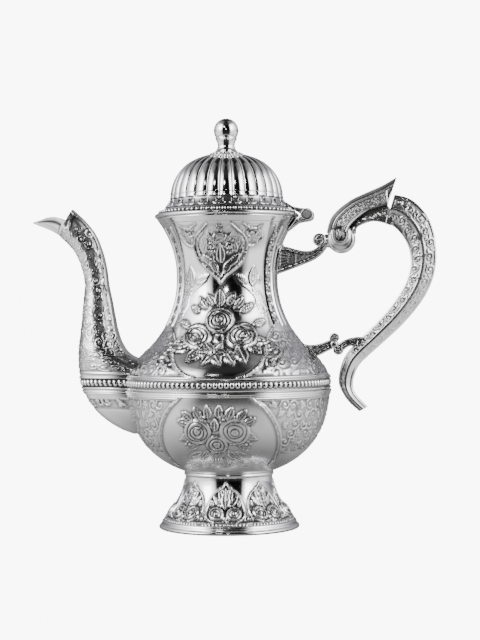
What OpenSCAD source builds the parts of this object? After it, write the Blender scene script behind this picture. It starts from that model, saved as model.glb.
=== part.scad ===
// Dallah coffee pot: a footed, silver-plated pot with a hinged fluted lid,
// a swan-neck spout with an open beak, and a keeled scroll handle.
// Millimetres. +Z is up, the origin is the centre of the foot's resting plane,
// the spout points to -X and the handle to +X.

/* [Body] */
// Sheet thickness of the foot, bowl, neck and lid
wall = 1.4; // [1.2:0.1:1.6]
// Outer radius of the foot at the table
foot_r = 44.9; // [44:0.1:46]
// Radius of the foot's waist
foot_waist_r = 27.8; // [27:0.1:28.6]
// Radius of the body's land under the belt
belly_r = 64.8; // [64:0.1:65.6]
// Smallest radius of the neck
neck_r = 32.2; // [31.6:0.1:33]
// Radius of the neck just below the mouth ring
mouth_r = 42.2; // [41.6:0.1:43]

/* [Levels] */
// Height of the foot and its collar
foot_h = 36.4; // [36:0.1:37]
// Height of the joint between the bowl and the upper body
seam_z = 91.5; // [91:0.1:92]
// Height at which the mouth ring starts
mouth_z = 193.2; // [193:0.1:193.6]
// Height of the mouth ring's top edge, which the lid rests on
lip_z = 197.2; // [197.1:0.1:197.6]

/* [Lid] */
// Outer radius of the lid's flange
lid_r = 45.8; // [45.4:0.1:46.4]
// Radius of the dome at its foot
dome_r = 34.9; // [34.4:0.1:35.3]
// Height of the dome's top
dome_z = 238.2; // [237.8:0.1:238.6]
// Radius of the finial's ball
finial_r = 7.9; // [7.4:0.1:8.4]
// Radius of the threaded stud through the dome
stud_r = 2; // [1.6:0.1:2.2]

/* [Hinge] */
// Distance of the hinge axis from the pot's axis
hinge_x = 51.8; // [51.5:0.1:52.2]
// Radius of the hinge barrel
barrel_r = 3.8; // [3.6:0.1:3.9]
// Radius of the hinge pin
pin_r = 1.5; // [1.3:0.1:1.7]
// Radial clearance of the lid's knuckle on the pin
pin_clearance = 0.05; // [0.03:0.01:0.08]
// Half the length of the hinge barrel
barrel_half = 8; // [7.5:0.5:9]
// Angle at which the lid is drawn
lid_angle = 0; // [0:1:102]

/* [Handle] */
// Half the width of the handle across its ridge
ridge_w = 6.4; // [6:0.1:7]
// Half the width of the handle's inner and outer edges
edge_w = 2.4; // [2:0.1:3]
// Radius of the volute at the handle's top
volute_r = 9; // [8.8:0.1:9.2]

/* [Strainer] */
// Radius of the port between the bowl and the spout
port_r = 12; // [10:0.5:12.5]
// Radius of each strainer hole
strainer_hole_r = 1.1; // [0.8:0.1:1.3]

/* [Hidden] */

$fn = 96;
silver = "gainsboro";
dark_silver = "darkgray";
brass = "goldenrod";

gap = 0.02;
base_ring_h = 2.8;
base_ring_w = 8.9;
collar_h = 2.9;
collar_bore_r = 22;
belt_low_z = seam_z - 6.1;
belt_top_z = seam_z + 5.5;
shoulder_r = 51.2;
shoulder_z = 114.4;
waist_z = 157.9;
lid_z = lip_z + 0.1;
flange_h = 3;
band_z = lid_z + 5;
ledge_z = band_z + 9.5;
plug_r = 37.4;
plug_h = 7.6;
plug_w = 1.2;
port_z = 75;
hinge_z = lip_z + 1.6;
curve_steps = 10;
ring_sides = 24;
spout_steps = 3;
handle_steps = 3;

// ---- Curves ----

function bezier_point(c, t) =
    pow(1 - t, 3) * c[0] + 3 * t * pow(1 - t, 2) * c[1]
    + 3 * t * t * (1 - t) * c[2] + pow(t, 3) * c[3];

function bezier(c, steps = curve_steps) = [for (i = [0:steps]) bezier_point(c, i / steps)];

function reverse(list) = [for (i = [len(list) - 1:-1:0]) list[i]];

function tail(list) = [for (i = [1:len(list) - 1]) list[i]];

// Unit vector along the outline at point i
function direction(path, i) =
    let (step = path[min(i + 1, len(path) - 1)] - path[max(i - 1, 0)])
    step / norm(step);

// The outline moved to the left of its own direction
function inset(path, amount) =
    [for (i = [0:len(path) - 1]) let (d = direction(path, i)) path[i] + amount * [-d[1], d[0]]];

// The same, with both ends moved level so that they stay flat
function level_inset(path, amount) =
    let (last = len(path) - 1)
    [for (i = [0:last]) let (d = direction(path, i))
        path[i] + ((i == 0 || i == last) ? [-amount / d[1], 0] : amount * [-d[1], d[0]])];

// A smooth list that passes through every station
function spline_point(a, b, c, d, t) =
    0.5 * (2 * b + (c - a) * t + (2 * a - 5 * b + 4 * c - d) * t * t + (3 * b - a - 3 * c + d) * t * t * t);

function spline(s, steps) =
    concat(
        [for (i = [0:len(s) - 2]) for (k = [0:steps - 1])
            spline_point(s[max(i - 1, 0)], s[i], s[i + 1], s[min(i + 2, len(s) - 1)], k / steps)],
        [s[len(s) - 1]]);

// ---- Outlines of the turned pieces, [radius, height] ----

foot_line = bezier([[foot_r - 1.2, base_ring_h], [foot_r - 3.4, 8], [foot_waist_r, 16.5],
    [foot_waist_r, foot_h - collar_h]]);

bowl_line = bezier([[28.4, foot_h], [50.5, foot_h + 7.6], [belly_r - 1.8, foot_h + 24],
    [belly_r, belt_low_z]]);

shoulder_line = bezier([[belly_r, belt_top_z], [62.7, belt_top_z + 1.5], [64.8, 102.2],
    [shoulder_r, shoulder_z]]);

waist_line = bezier([[shoulder_r, shoulder_z], [46.2, 118.8], [neck_r, 134.4], [neck_r, waist_z]]);

flare_line = bezier([[neck_r, waist_z], [neck_r, 163.4], [mouth_r - 10.7, 176.9], [mouth_r, mouth_z]]);

bowl_outer = concat(bowl_line, [[belly_r, seam_z]]);

upper_outer = concat([[belly_r, seam_z]], shoulder_line, tail(waist_line), tail(flare_line));

rim_line = [[lid_r - 0.9, lid_z], [lid_r, lid_z + 0.9], [lid_r, lid_z + 2], [lid_r - 0.7, lid_z + flange_h],
    [lid_r - 2, lid_z + 3.4], [lid_r - 2.4, lid_z + 4.4], [lid_r - 4.2, band_z]];

band_line = bezier([[lid_r - 4.8, band_z], [lid_r - 7.6, band_z + 1.9], [dome_r + 0.9, ledge_z - 3.8],
    [dome_r + 0.5, ledge_z]]);

dome_line = bezier([[dome_r, ledge_z], [dome_r - 1.6, ledge_z + 14.5], [25, dome_z - 3.6], [8, dome_z]]);

// ---- Lofts ----

// Side faces between neighbouring rings of n points, the first ring at point "from"
function side_faces(rings, n, from = 0, inward = false) =
    [for (i = [0:rings - 2]) for (k = [0:n - 1])
        let (a = from + i * n + k, b = from + i * n + (k + 1) % n)
        inward ? [a, a + n, b + n, b] : [a, b, b + n, a + n]];

// Flat end of a loft, as strips between point k and its mirror point n - 1 - k
function cap_faces(n, from, inward = false) =
    [for (k = [0:n / 2 - 2])
        let (a = from + k, b = from + n - 1 - k)
        inward ? [a, b, b - 1, a + 1] : [a, a + 1, b - 1, b]];

// A closed solid through a list of rings that are mirrored about Y
module loft(rings) {
    n = len(rings[0]);
    last = (len(rings) - 1) * n;
    polyhedron(
        points = [for (ring = rings) each ring],
        faces = concat(cap_faces(n, 0, true), side_faces(len(rings), n), cap_faces(n, last)));
}

// An open-ended tube between an outer and an inner list of rings
module tube(outer, inner) {
    n = len(outer[0]);
    count = len(outer);
    last = (count - 1) * n;
    shift = count * n;
    polyhedron(
        points = concat([for (ring = outer) each ring], [for (ring = inner) each ring]),
        faces = concat(
            side_faces(count, n),
            side_faces(count, n, shift, true),
            [for (k = [0:n - 1]) let (next = (k + 1) % n) [k, shift + k, shift + next, next]],
            [for (k = [0:n - 1]) let (next = (k + 1) % n)
                [last + k, last + next, last + shift + next, last + shift + k]]));
}

// ---- Spout sections ----
// Each station is [back x, back z, front x, front z, half width]. The back edge is
// the outer curve of the swan neck, and the front edge is the one that faces the pot.

spout_stations = [
    [-62, 59.6, -58, 59.6, 2.5],
    [-69.5, 62.5, -46, 62.5, 8],
    [-78, 67.6, -40, 67.6, 13],
    [-85.5, 74, -34, 74, 16.4],
    [-90.6, 81, -28, 81, 18.4],
    [-93, belt_low_z, -26, belt_low_z, 19],
    [-95.2, seam_z, -24, seam_z, 19],
    [-96.3, belt_top_z, -26, belt_top_z, 18.8],
    [-97.1, 104.5, -38, 102, 18],
    [-97, 114, -60.5, 109.6, 15.4],
    [-96.1, 122, -67.6, 117, 13],
    [-95.1, 131, -71, 126, 11.4],
    [-94.2, 139.6, -73, 135.4, 10.2],
    [-93.4, 147.4, -74.8, 145, 9.2],
    [-92.6, 156, -77, 155.4, 8.2],
    [-94.1, 164.4, -78.4, 167, 7.4],
    [-97.3, 173.6, -81.2, 178.4, 7],
    [-102.2, 180.8, -85.4, 188.4, 6.8],
    [-107.2, 185.8, -92.4, 197.4, 6.6],
    [-109.4, 187.8, -100.4, 204.8, 5.4]];
belt_low_station = 5;
seam_station = 6;
belt_top_station = 7;

function spout_ring(s, grow) =
    let (
        centre = [s[0] + s[2], s[1] + s[3]] / 2,
        back = [s[0] - s[2], s[1] - s[3]] / 2,
        half = norm(back),
        toward = back / half)
    [for (k = [0:ring_sides - 1])
        let (a = 360 * (k + 0.5) / ring_sides, u = (half + grow) * cos(a), v = (s[4] + grow) * sin(a))
        [centre[0] + toward[0] * u, v, centre[1] + toward[1] * u]];

function part_of(list, first, last) = [for (i = [first:last]) list[i]];

spout_path = spline(spout_stations, spout_steps);

function spout_rings(first, last, grow) =
    [for (s = part_of(spout_path, first * spout_steps, last * spout_steps)) spout_ring(s, grow)];

// ---- Beak sections ----
// Each station is [bottom x, bottom z, rim x, rim z, half width] of an open trough.

beak_stations = [
    [-109.45, 187.82, -104.65, 196.82, 5.35],
    [-113.4, 190.3, -109.6, 199.6, 4.8],
    [-118.4, 192.6, -115.8, 199.7, 3.9],
    [-123, 194.4, -121.6, 198, 2.7],
    [-126.8, 196, -126.4, 196.9, 1.2]];
beak_wall = 1.1;
beak_sides = 8;

// One arc of the trough from rim to rim, shrunk inward by "shrink"
function trough_arc(s, shrink) =
    let (
        rim = [s[2], s[3]],
        down = [s[0] - s[2], s[1] - s[3]],
        depth = norm(down),
        toward = down / depth,
        keep = max(depth - shrink, 0.25),
        half = max(s[4] - shrink, 0.3))
    [for (k = [0:beak_sides])
        let (a = -90 + 180 * k / beak_sides, u = keep * cos(a))
        [rim[0] + toward[0] * u, half * sin(a), rim[1] + toward[1] * u]];

function trough_ring(s) = concat(trough_arc(s, 0), reverse(trough_arc(s, min(beak_wall, s[4] * 0.4))));

// ---- Handle sections ----
// Each station is [outer x, outer z, inner x, inner z].

// The crest line that the thumb leaf and the grip share, from the volute to the notch
crest = [[77.2, 187.5], [79.2, 191.3], [84, 196], [90.5, 200.4], [96.5, 202.2], [102, 203.8]];
under_leaf = [[82.2, 186.4], [82.8, 190.2], [86.8, 192.6], [92.4, 194.2], [97.2, 193.8], [101, 192.7]];
leaf_back = [[63.6, 187], [66.2, 195.8], [71.5, 202], [79.4, 207.7], [88.5, 211.9], [100, 217]];
leaf_tip = [108.3, 221.6];
leaf_foot = [102.6, 205.2];
grip_stations = [
    [106.9, 210.5, 101.6, 192.4],
    [117.2, 207.2, 106.3, 190.4],
    [126.4, 198, 111.6, 184.6],
    [131.2, 187, 115, 178],
    [132.8, 175.5, 116.4, 171],
    [131.9, 163, 115.8, 164],
    [128, 151, 112.8, 154.6],
    [120.8, 139.6, 106.4, 144],
    [111, 128.3, 99, 134.8],
    [99.6, 117.8, 89.4, 124.6],
    [89, 108.4, 80, 115.4],
    [83.6, 102.8, 74.6, 108.4],
    [80.6, 96.6, 71.6, 100.4],
    [79.6, 90.6, 70.7, 92.4],
    [80.7, 85.8, 72.6, 86.6],
    [83.6, 82, 76.8, 80.2],
    [88.8, 76.8, 83.6, 73.8]];

// Six-sided keeled section: two edges and a ridge on each side halfway between them
function keeled_ring(s, ridge, edge) =
    let (
        outer = [s[0], s[1]],
        inner = [s[2], s[3]],
        mid = (outer + inner) / 2)
    [[outer[0], edge, outer[1]], [mid[0], ridge, mid[1]], [inner[0], edge, inner[1]],
        [inner[0], -edge, inner[1]], [mid[0], -ridge, mid[1]], [outer[0], -edge, outer[1]]];

// Four-sided section that is wide at its first edge and narrow at its second
function wedge_ring(s, first, second) =
    [[s[0], first, s[1]], [s[2], second, s[3]], [s[2], -second, s[3]], [s[0], -first, s[1]]];

function paired(a, b) = [for (i = [0:len(a) - 1]) [a[i][0], a[i][1], b[i][0], b[i][1]]];

// ---- Outlines of the scrolled arms, in the XZ plane ----

upper_arm_line = concat(
    bezier([[28, 180.4], [38, 178.6], [46, 173.8], [55.2, 176.6]], 8),
    bezier([[55.2, 176.6], [57, 178.6], [60, 181.6], [66, 182.4]], 5),
    bezier([[66, 174.6], [60, 171.4], [50, 166.4], [30, 160.6]], 8));
upper_scroll = [59.4, 182.6];
upper_scroll_r = 4.1;

lower_inner_line = concat(
    bezier([[44, 118.6], [52, 115.4], [58, 116.4], [65.6, 119]], 6),
    bezier([[69.4, 117], [66.4, 112], [62.4, 112.4], [59.2, 108.4]], 6),
    [[50, 106]]);
lower_scroll_up = [68.1, 120.5];
lower_scroll_up_r = 2.9;

lower_outer_line = concat(
    bezier([[70.4, 116.6], [74.6, 120.4], [78, 121.2], [86, 120.9]], 6),
    [[82, 113.2]],
    bezier([[79.8, 114.9], [77.4, 116.6], [75, 116], [73, 113.6]], 5));
lower_scroll_down = [70.6, 112.8];
lower_scroll_down_r = 3.2;

upper_arm_w = 4.4;
lower_arm_w = 3.6;
pad_h = 1.3;
upper_root_z = 170.6;
upper_pad_r = 9.8;
lower_root = [54, 112];
lower_pad_r = 7;
volute_centre = [73, 183];
leaf_edge_w = 1.8;
knuckle_gap = 0.15;
mouth_ring_w = 2.5;
belt_h = 1.5;

// ---- Helpers ----

// A shell of revolution between an outline and the same outline moved inward
module shell(outline, thickness) {
    rotate_extrude() polygon(concat(outline, reverse(level_inset(outline, thickness))));
}

// The space taken by the body's outer surface between two heights
module body_envelope(grow) {
    outline = concat(tail(bowl_line), upper_outer);
    rotate_extrude() polygon(concat([[0, bowl_line[1][1]]], inset(outline, -grow), [[0, mouth_z]]));
}

// A plate in the XZ plane, centred on Y
module side_plate(outline, half_width) {
    rotate([90, 0, 0]) linear_extrude(height = 2 * half_width, center = true) polygon(outline);
}

// A round bar along Y at a place in the XZ plane
module cross_bar(place, radius, half_width) {
    translate([place[0], 0, place[1]]) rotate([90, 0, 0])
        cylinder(r = radius, h = 2 * half_width, center = true);
}

// The lid's own pieces, turned about the hinge axis
module on_lid() {
    translate([hinge_x, 0, hinge_z]) rotate([0, lid_angle, 0])
        translate([-hinge_x, 0, -hinge_z]) children();
}

// ---- Foot and body ----

module foot_base_ring() {
    color(silver) rotate_extrude() polygon([[foot_r - base_ring_w, 0], [foot_r - 0.8, 0], [foot_r, 0.8],
        [foot_r, 1.5], [foot_r - 1.2, base_ring_h], [foot_r - base_ring_w, base_ring_h]]);
}

module foot() {
    color(silver) shell(foot_line, wall);
}

module foot_collar() {
    low_z = foot_h - collar_h;
    collar_r = foot_waist_r + 0.9;
    color(silver) rotate_extrude() polygon([[collar_bore_r, low_z], [collar_r - 0.7, low_z],
        [collar_r, low_z + 0.7], [collar_r, foot_h - 0.9], [collar_r - 0.6, foot_h], [collar_bore_r, foot_h]]);
}

module lower_bowl() {
    floor_z = foot_h + wall;
    inner = [for (point = level_inset(bowl_outer, wall)) if (point[1] > floor_z + 1) point];
    color(silver) difference() {
        rotate_extrude() polygon(concat([[0, foot_h]], bowl_outer, reverse(inner),
            [[28, floor_z], [0, floor_z]]));
        translate([-belly_r - 10, 0, port_z]) rotate([0, 90, 0]) cylinder(r = port_r, h = belly_r);
    }
}

module belt_ring() {
    color(silver) difference() {
        rotate_extrude() polygon([[belly_r + gap, belt_low_z], [belly_r + 1.2, belt_low_z + 0.4],
            [belly_r + belt_h, belt_low_z + 1.4], [belly_r + 1.2, belt_low_z + 2.4],
            [belly_r + 0.5, belt_low_z + 3], [belly_r + 1.4, belt_low_z + 3.8],
            [belly_r + 1.4, belt_top_z - 1.6], [belly_r + 1.1, belt_top_z - 0.4],
            [belly_r + gap, belt_top_z]]);
        loft(spout_rings(belt_low_station - 1, belt_top_station + 1, gap));
    }
}

module upper_body() {
    color(silver) shell(upper_outer, wall);
}

module mouth_ring() {
    outer_r = mouth_r + mouth_ring_w;
    color(silver) rotate_extrude() polygon([[mouth_r - 2, mouth_z], [mouth_r, mouth_z],
        [outer_r - 1.3, mouth_z + 1.2], [outer_r - 0.3, mouth_z + 2.6], [outer_r, lip_z - 0.4],
        [outer_r - 0.4, lip_z], [mouth_r - 2, lip_z]]);
}

// ---- Spout ----

module spout() {
    last = len(spout_stations) - 1;
    color(dark_silver) difference() {
        tube(spout_rings(seam_station, last, 0), spout_rings(seam_station, last, -wall));
        body_envelope(gap);
    }
}

module spout_belly() {
    color(dark_silver) difference() {
        loft(spout_rings(0, seam_station, 0));
        loft(spout_rings(1, seam_station, -wall));
        body_envelope(gap);
    }
}

module spout_belt_ring() {
    color(silver) difference() {
        tube(spout_rings(belt_low_station, belt_top_station, 1.2),
            spout_rings(belt_low_station, belt_top_station, gap));
        body_envelope(belt_h + 0.1);
    }
}

module spout_beak() {
    color(dark_silver) loft([for (s = spline(beak_stations, spout_steps)) trough_ring(s)]);
}

// A pierced patch of the bowl's own curve, fixed inside over the port
module spout_strainer() {
    pitch = 4;
    rows = 2;
    inner = inset(bowl_outer, wall + gap);
    color(brass) difference() {
        intersection() {
            rotate_extrude() polygon(concat(part_of(inner, 3, 9), reverse(inset(part_of(inner, 3, 9), 1))));
            translate([-belly_r, 0, port_z]) rotate([0, 90, 0]) cylinder(r = port_r + 2, h = belly_r);
        }
        for (row = [-rows:rows]) {
            for (column = [0:2 * rows - abs(row)]) {
                y = (column - rows + abs(row) / 2) * pitch;
                z = port_z + row * pitch * cos(30);
                translate([-belly_r, y, z]) rotate([0, 90, 0])
                    cylinder(r = strainer_hole_r, h = belly_r, $fn = 24);
            }
        }
    }
}

// ---- Handle ----

module upper_arm_pad() {
    line = part_of(flare_line, 0, 8);
    color(silver) intersection() {
        rotate_extrude() polygon(concat(inset(line, -gap), reverse(inset(line, -pad_h))));
        translate([0, 0, upper_root_z]) rotate([0, 90, 0]) cylinder(r = upper_pad_r, h = 50);
    }
}

module upper_arm() {
    color(dark_silver) difference() {
        union() {
            side_plate(upper_arm_line, upper_arm_w);
            cross_bar(upper_scroll, upper_scroll_r, upper_arm_w + 0.6);
        }
        body_envelope(pad_h + gap);
        cross_bar(volute_centre, volute_r + gap, 10);
    }
}

module handle_volute() {
    color(dark_silver) difference() {
        cross_bar(volute_centre, volute_r, ridge_w);
        for (side = [-1, 1]) {
            translate([0, side * ridge_w, 0]) cross_bar(volute_centre, volute_r - 1.6, 0.7);
        }
    }
}

module thumb_leaf() {
    path = spline(concat(paired(leaf_back, crest), [concat(leaf_tip, leaf_foot)]), handle_steps);
    last = len(path) - 1;
    color(dark_silver) difference() {
        loft([for (i = [0:last]) let (slim = 1 - 0.45 * pow(i / last, 3))
            wedge_ring(path[i], leaf_edge_w * slim, ridge_w * slim)]);
        cross_bar(volute_centre, volute_r + gap, 10);
    }
}

module handle_grip() {
    under = spline(paired(crest, under_leaf), handle_steps);
    grip = spline(grip_stations, handle_steps);
    last = len(under) - 1;
    color(dark_silver) difference() {
        union() {
            loft([for (s = under) wedge_ring(s, ridge_w, edge_w)]);
            hull() {
                loft([for (s = part_of(under, last - 1, last)) wedge_ring(s, ridge_w, edge_w)]);
                loft([for (s = part_of(grip, 0, 1)) keeled_ring(s, ridge_w, edge_w)]);
            }
            loft([for (s = grip) keeled_ring(s, ridge_w, edge_w)]);
        }
        cross_bar(volute_centre, volute_r + gap, 10);
        thumb_leaf();
    }
}

module lower_arm_pad() {
    line = concat(part_of(shoulder_line, 3, 10), part_of(waist_line, 1, 4));
    color(silver) intersection() {
        rotate_extrude() polygon(concat(inset(line, -gap), reverse(inset(line, -pad_h))));
        translate([lower_root[0], 0, lower_root[1]]) rotate([0, 45, 0])
            cylinder(r = lower_pad_r, h = 20, center = true);
    }
}

module lower_arm_inner() {
    color(dark_silver) difference() {
        union() {
            side_plate(lower_inner_line, lower_arm_w);
            cross_bar(lower_scroll_up, lower_scroll_up_r, lower_arm_w + 0.6);
        }
        body_envelope(pad_h + gap);
        side_plate(lower_outer_line, 10);
        cross_bar(lower_scroll_down, lower_scroll_down_r + gap, 10);
    }
}

module lower_arm_outer() {
    color(dark_silver) difference() {
        union() {
            side_plate(lower_outer_line, lower_arm_w);
            cross_bar(lower_scroll_down, lower_scroll_down_r, lower_arm_w + 0.6);
        }
        handle_grip();
    }
}

// ---- Hinge ----

// The pot's half of the hinge: a bracket under the lip with two outer knuckles
module hinge_body_leaf() {
    bracket = [[35, mouth_z - 6], [42, lip_z - 5.4], [50, hinge_z - 4.2], [hinge_x + 2, hinge_z - 4],
        [hinge_x + 3.4, hinge_z - 1.6], [hinge_x, hinge_z + 1], [hinge_x - 3.7, hinge_z],
        [46.4, lip_z - 1], [42, lip_z - 0.6], [35, lip_z - 0.6]];
    slot_h = barrel_r + 0.5;
    color(dark_silver) difference() {
        union() {
            side_plate(bracket, barrel_half);
            cross_bar([hinge_x, hinge_z], barrel_r, barrel_half);
        }
        side_plate([[hinge_x - 10, hinge_z - slot_h], [hinge_x + barrel_r + 1, hinge_z - slot_h],
            [hinge_x + barrel_r + 1, hinge_z + slot_h], [hinge_x - 10, hinge_z + slot_h]],
            barrel_half / 2 + knuckle_gap);
        cross_bar([hinge_x, hinge_z], pin_r + gap, barrel_half + 1);
        body_envelope(gap);
        translate([0, 0, mouth_z - 0.5]) cylinder(r = mouth_r + mouth_ring_w + 0.1, h = 8);
    }
}

module hinge_pin() {
    color(dark_silver) union() {
        cross_bar([hinge_x, hinge_z], pin_r, barrel_half + 0.6);
        for (side = [-1, 1]) {
            translate([0, side * (barrel_half + 0.45), 0]) cross_bar([hinge_x, hinge_z], pin_r + 0.9, 0.4);
        }
    }
}

// The lid's half of the hinge: a swept strap from the lid's band to the middle knuckle
module hinge_lid_leaf() {
    knuckle_half = barrel_half / 2 - knuckle_gap;
    strap = concat(
        bezier([[34, 209.6], [41, 204.4], [43, 203.4], [hinge_x - 1, hinge_z + barrel_r]], 6),
        [[hinge_x, hinge_z + 1], [hinge_x - 3.4, hinge_z + 0.8], [46.8, lid_z + 1.4], [34, lid_z + 1.4]]);
    color(dark_silver) on_lid() difference() {
        union() {
            side_plate(strap, knuckle_half);
            cross_bar([hinge_x, hinge_z], barrel_r, knuckle_half);
        }
        cross_bar([hinge_x, hinge_z], pin_r + pin_clearance, barrel_half);
        lid_envelope();
    }
}

// ---- Lid ----

// The space inside the outer surface of the lid's flange, band and dome
module lid_envelope() {
    rotate_extrude() polygon(concat([[0, lid_z - 1]], inset(rim_line, -gap), inset(band_line, -gap),
        [[0, ledge_z]]));
}

module lid_plug_ring() {
    foot_z = lid_z - plug_h;
    color(silver) on_lid() rotate_extrude() polygon([[plug_r - plug_w, foot_z + 0.6],
        [plug_r - plug_w / 2, foot_z], [plug_r, foot_z + 0.6], [plug_r, lid_z], [plug_r - plug_w, lid_z]]);
}

module lid_rim() {
    color(silver) on_lid() rotate_extrude() polygon(concat([[plug_r - plug_w, lid_z]], rim_line,
        [[plug_r - plug_w, band_z]]));
}

module lid_band() {
    under = [for (point = level_inset(band_line, wall)) if (point[1] >= band_z) point];
    color(silver) on_lid() rotate_extrude() polygon(concat(band_line, reverse(under)));
}

module lid_dome() {
    under = part_of(level_inset(dome_line, wall), 0, curve_steps - 1);
    color(silver) on_lid() difference() {
        rotate_extrude() polygon(concat(dome_line, [[0, dome_z], [0, dome_z - wall], [8, dome_z - wall]],
            reverse(under)));
        translate([0, 0, dome_z - 10]) cylinder(r = stud_r + 0.1, h = 20);
    }
}

module finial_collar() {
    color(silver) on_lid() difference() {
        rotate_extrude() polygon(concat([[0, dome_z]], bezier([[10.4, dome_z], [9.4, dome_z + 1.6],
            [6.8, dome_z + 2], [6.2, dome_z + 3.6]], 5), [[0, dome_z + 3.6]]));
        translate([0, 0, dome_z - 1]) cylinder(r = stud_r + 0.1, h = 10);
    }
}

module finial() {
    foot_z = dome_z + 3.6;
    ball_z = 261.3 - finial_r;
    color(silver) on_lid() difference() {
        rotate_extrude() polygon(concat(
            [[0, foot_z], [6.2, foot_z], [5.7, foot_z + 1.9], [6, foot_z + 4.4], [7.2, foot_z + 7.6]],
            [for (a = [-28:13.1:90]) [finial_r * cos(a), ball_z + finial_r * sin(a)]],
            [[0, ball_z + finial_r]]));
        translate([0, 0, foot_z - 1]) cylinder(r = stud_r + gap, h = 10);
    }
}

module finial_stud() {
    color(brass) on_lid() translate([0, 0, dome_z - 7]) cylinder(r = stud_r, h = 19);
}

module finial_washer() {
    color(brass) on_lid() translate([0, 0, dome_z - wall - 1.2]) difference() {
        cylinder(r = 5.4, h = 1);
        translate([0, 0, -1]) cylinder(r = stud_r + gap, h = 4);
    }
}

module finial_nut() {
    color(brass) on_lid() translate([0, 0, dome_z - wall - 4.4]) difference() {
        cylinder(r = 4.4, h = 3.1, $fn = 6);
        translate([0, 0, -1]) cylinder(r = stud_r + gap, h = 6);
    }
}

foot_base_ring();
foot();
foot_collar();
lower_bowl();
belt_ring();
upper_body();
mouth_ring();
spout();
spout_belly();
spout_belt_ring();
spout_beak();
spout_strainer();
upper_arm_pad();
upper_arm();
handle_volute();
thumb_leaf();
handle_grip();
lower_arm_pad();
lower_arm_inner();
lower_arm_outer();
hinge_body_leaf();
hinge_pin();
lid_plug_ring();
lid_rim();
lid_band();
lid_dome();
hinge_lid_leaf();
finial_collar();
finial();
finial_stud();
finial_washer();
finial_nut();
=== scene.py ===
import math

import bpy
import numpy as np
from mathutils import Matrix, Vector


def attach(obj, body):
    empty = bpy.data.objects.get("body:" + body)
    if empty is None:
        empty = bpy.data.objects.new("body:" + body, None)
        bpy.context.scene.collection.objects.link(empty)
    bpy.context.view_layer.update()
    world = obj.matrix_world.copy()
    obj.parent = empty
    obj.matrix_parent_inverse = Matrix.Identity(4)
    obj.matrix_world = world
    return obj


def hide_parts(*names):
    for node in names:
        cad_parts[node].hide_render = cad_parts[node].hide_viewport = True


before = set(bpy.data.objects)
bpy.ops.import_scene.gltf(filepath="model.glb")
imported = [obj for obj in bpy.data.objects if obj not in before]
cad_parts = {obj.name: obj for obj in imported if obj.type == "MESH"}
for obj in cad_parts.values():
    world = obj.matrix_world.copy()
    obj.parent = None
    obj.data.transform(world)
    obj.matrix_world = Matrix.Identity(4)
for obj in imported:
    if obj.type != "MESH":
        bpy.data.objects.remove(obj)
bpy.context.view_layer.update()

# Lengths are in millimetres in the CAD frame, but for the floor's section at the end, which is in metres.
MM = 0.001
PI = math.pi
SHARP_ANGLE = math.radians(48)

BASE_TOP = 2.8
FOOT_TOP = 33.5
COLLAR_TOP = 36.4
BELT_LOW, SEAM, BELT_TOP = 85.4, 91.5, 97
BELT_RADIUS = 64.8
BELT_BEADS = 92.8  # height of the beads' middle
WAIST, WAIST_RADIUS = 157.9, 32.2
BODY_TOP = 193.2
LIP_TOP = 197.2
RIM_LOW, RIM_TOP = 197.3, 202.3
DOME_LOW, DOME_TOP = 211.8, 238.2
STEM_LOW, FINIAL_TOP = 243.4, 261.3
LOBES = 28  # flutes round the dome
ARM_HALF = 3.6  # half the width of a lower arm
CREST_HALF = 6.4  # half the handle's width at its ridge

# ---------------------------------------------------------------- curves


def bezier(control, steps):
    c = np.array(control, float)
    t = np.linspace(0, 1, steps + 1)[:, None]
    return (1 - t) ** 3 * c[0] + 3 * t * (1 - t) ** 2 * c[1] + 3 * t * t * (1 - t) * c[2] + t**3 * c[3]


def join(*lines):
    """Lines end to end, with the shared points kept once."""
    out = [np.array(lines[0][0], float)]
    for line in lines:
        for point in np.array(line, float):
            if np.linalg.norm(point - out[-1]) > 1e-6:
                out.append(point)
    return np.array(out)


def lengths(line):
    return np.concatenate([[0], np.cumsum(np.linalg.norm(np.diff(line, axis=0), axis=1))])


def resample(line, count):
    line = np.array(line, float)
    along = lengths(line)
    wanted = np.linspace(0, along[-1], count)
    return np.stack([np.interp(wanted, along, line[:, k]) for k in range(line.shape[1])], -1)


def spline(stations, steps=12):
    """Smooth list through every station (Catmull-Rom)."""
    s = np.array(stations, float)
    out = []
    for i in range(len(s) - 1):
        a, b, c, d = s[max(i - 1, 0)], s[i], s[i + 1], s[min(i + 2, len(s) - 1)]
        for t in np.arange(steps) / steps:
            bend = (2 * a - 5 * b + 4 * c - d) * t * t
            out.append(0.5 * (2 * b + (c - a) * t + bend + (3 * b - a - 3 * c + d) * t**3))
    out.append(s[-1])
    return np.array(out)


def smooth(x):
    x = np.clip(x, 0, 1)
    return x * x * (3 - 2 * x)


def fold(angle, centre, period):
    """Angle in degrees from the nearest repeat of centre."""
    return (angle - centre + period / 2) % period - period / 2


def near_line(distance, width):
    """1 on a line, and almost nothing two widths away from it."""
    return np.exp(-((distance / width) ** 2))


def round_top(q):
    """The height of a round top of height 1, with q 0 in its middle and 1 at its edge."""
    return np.sqrt(np.clip(1 - q, 0, 1))


# ---------------------------------------------------------------- relief


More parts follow.
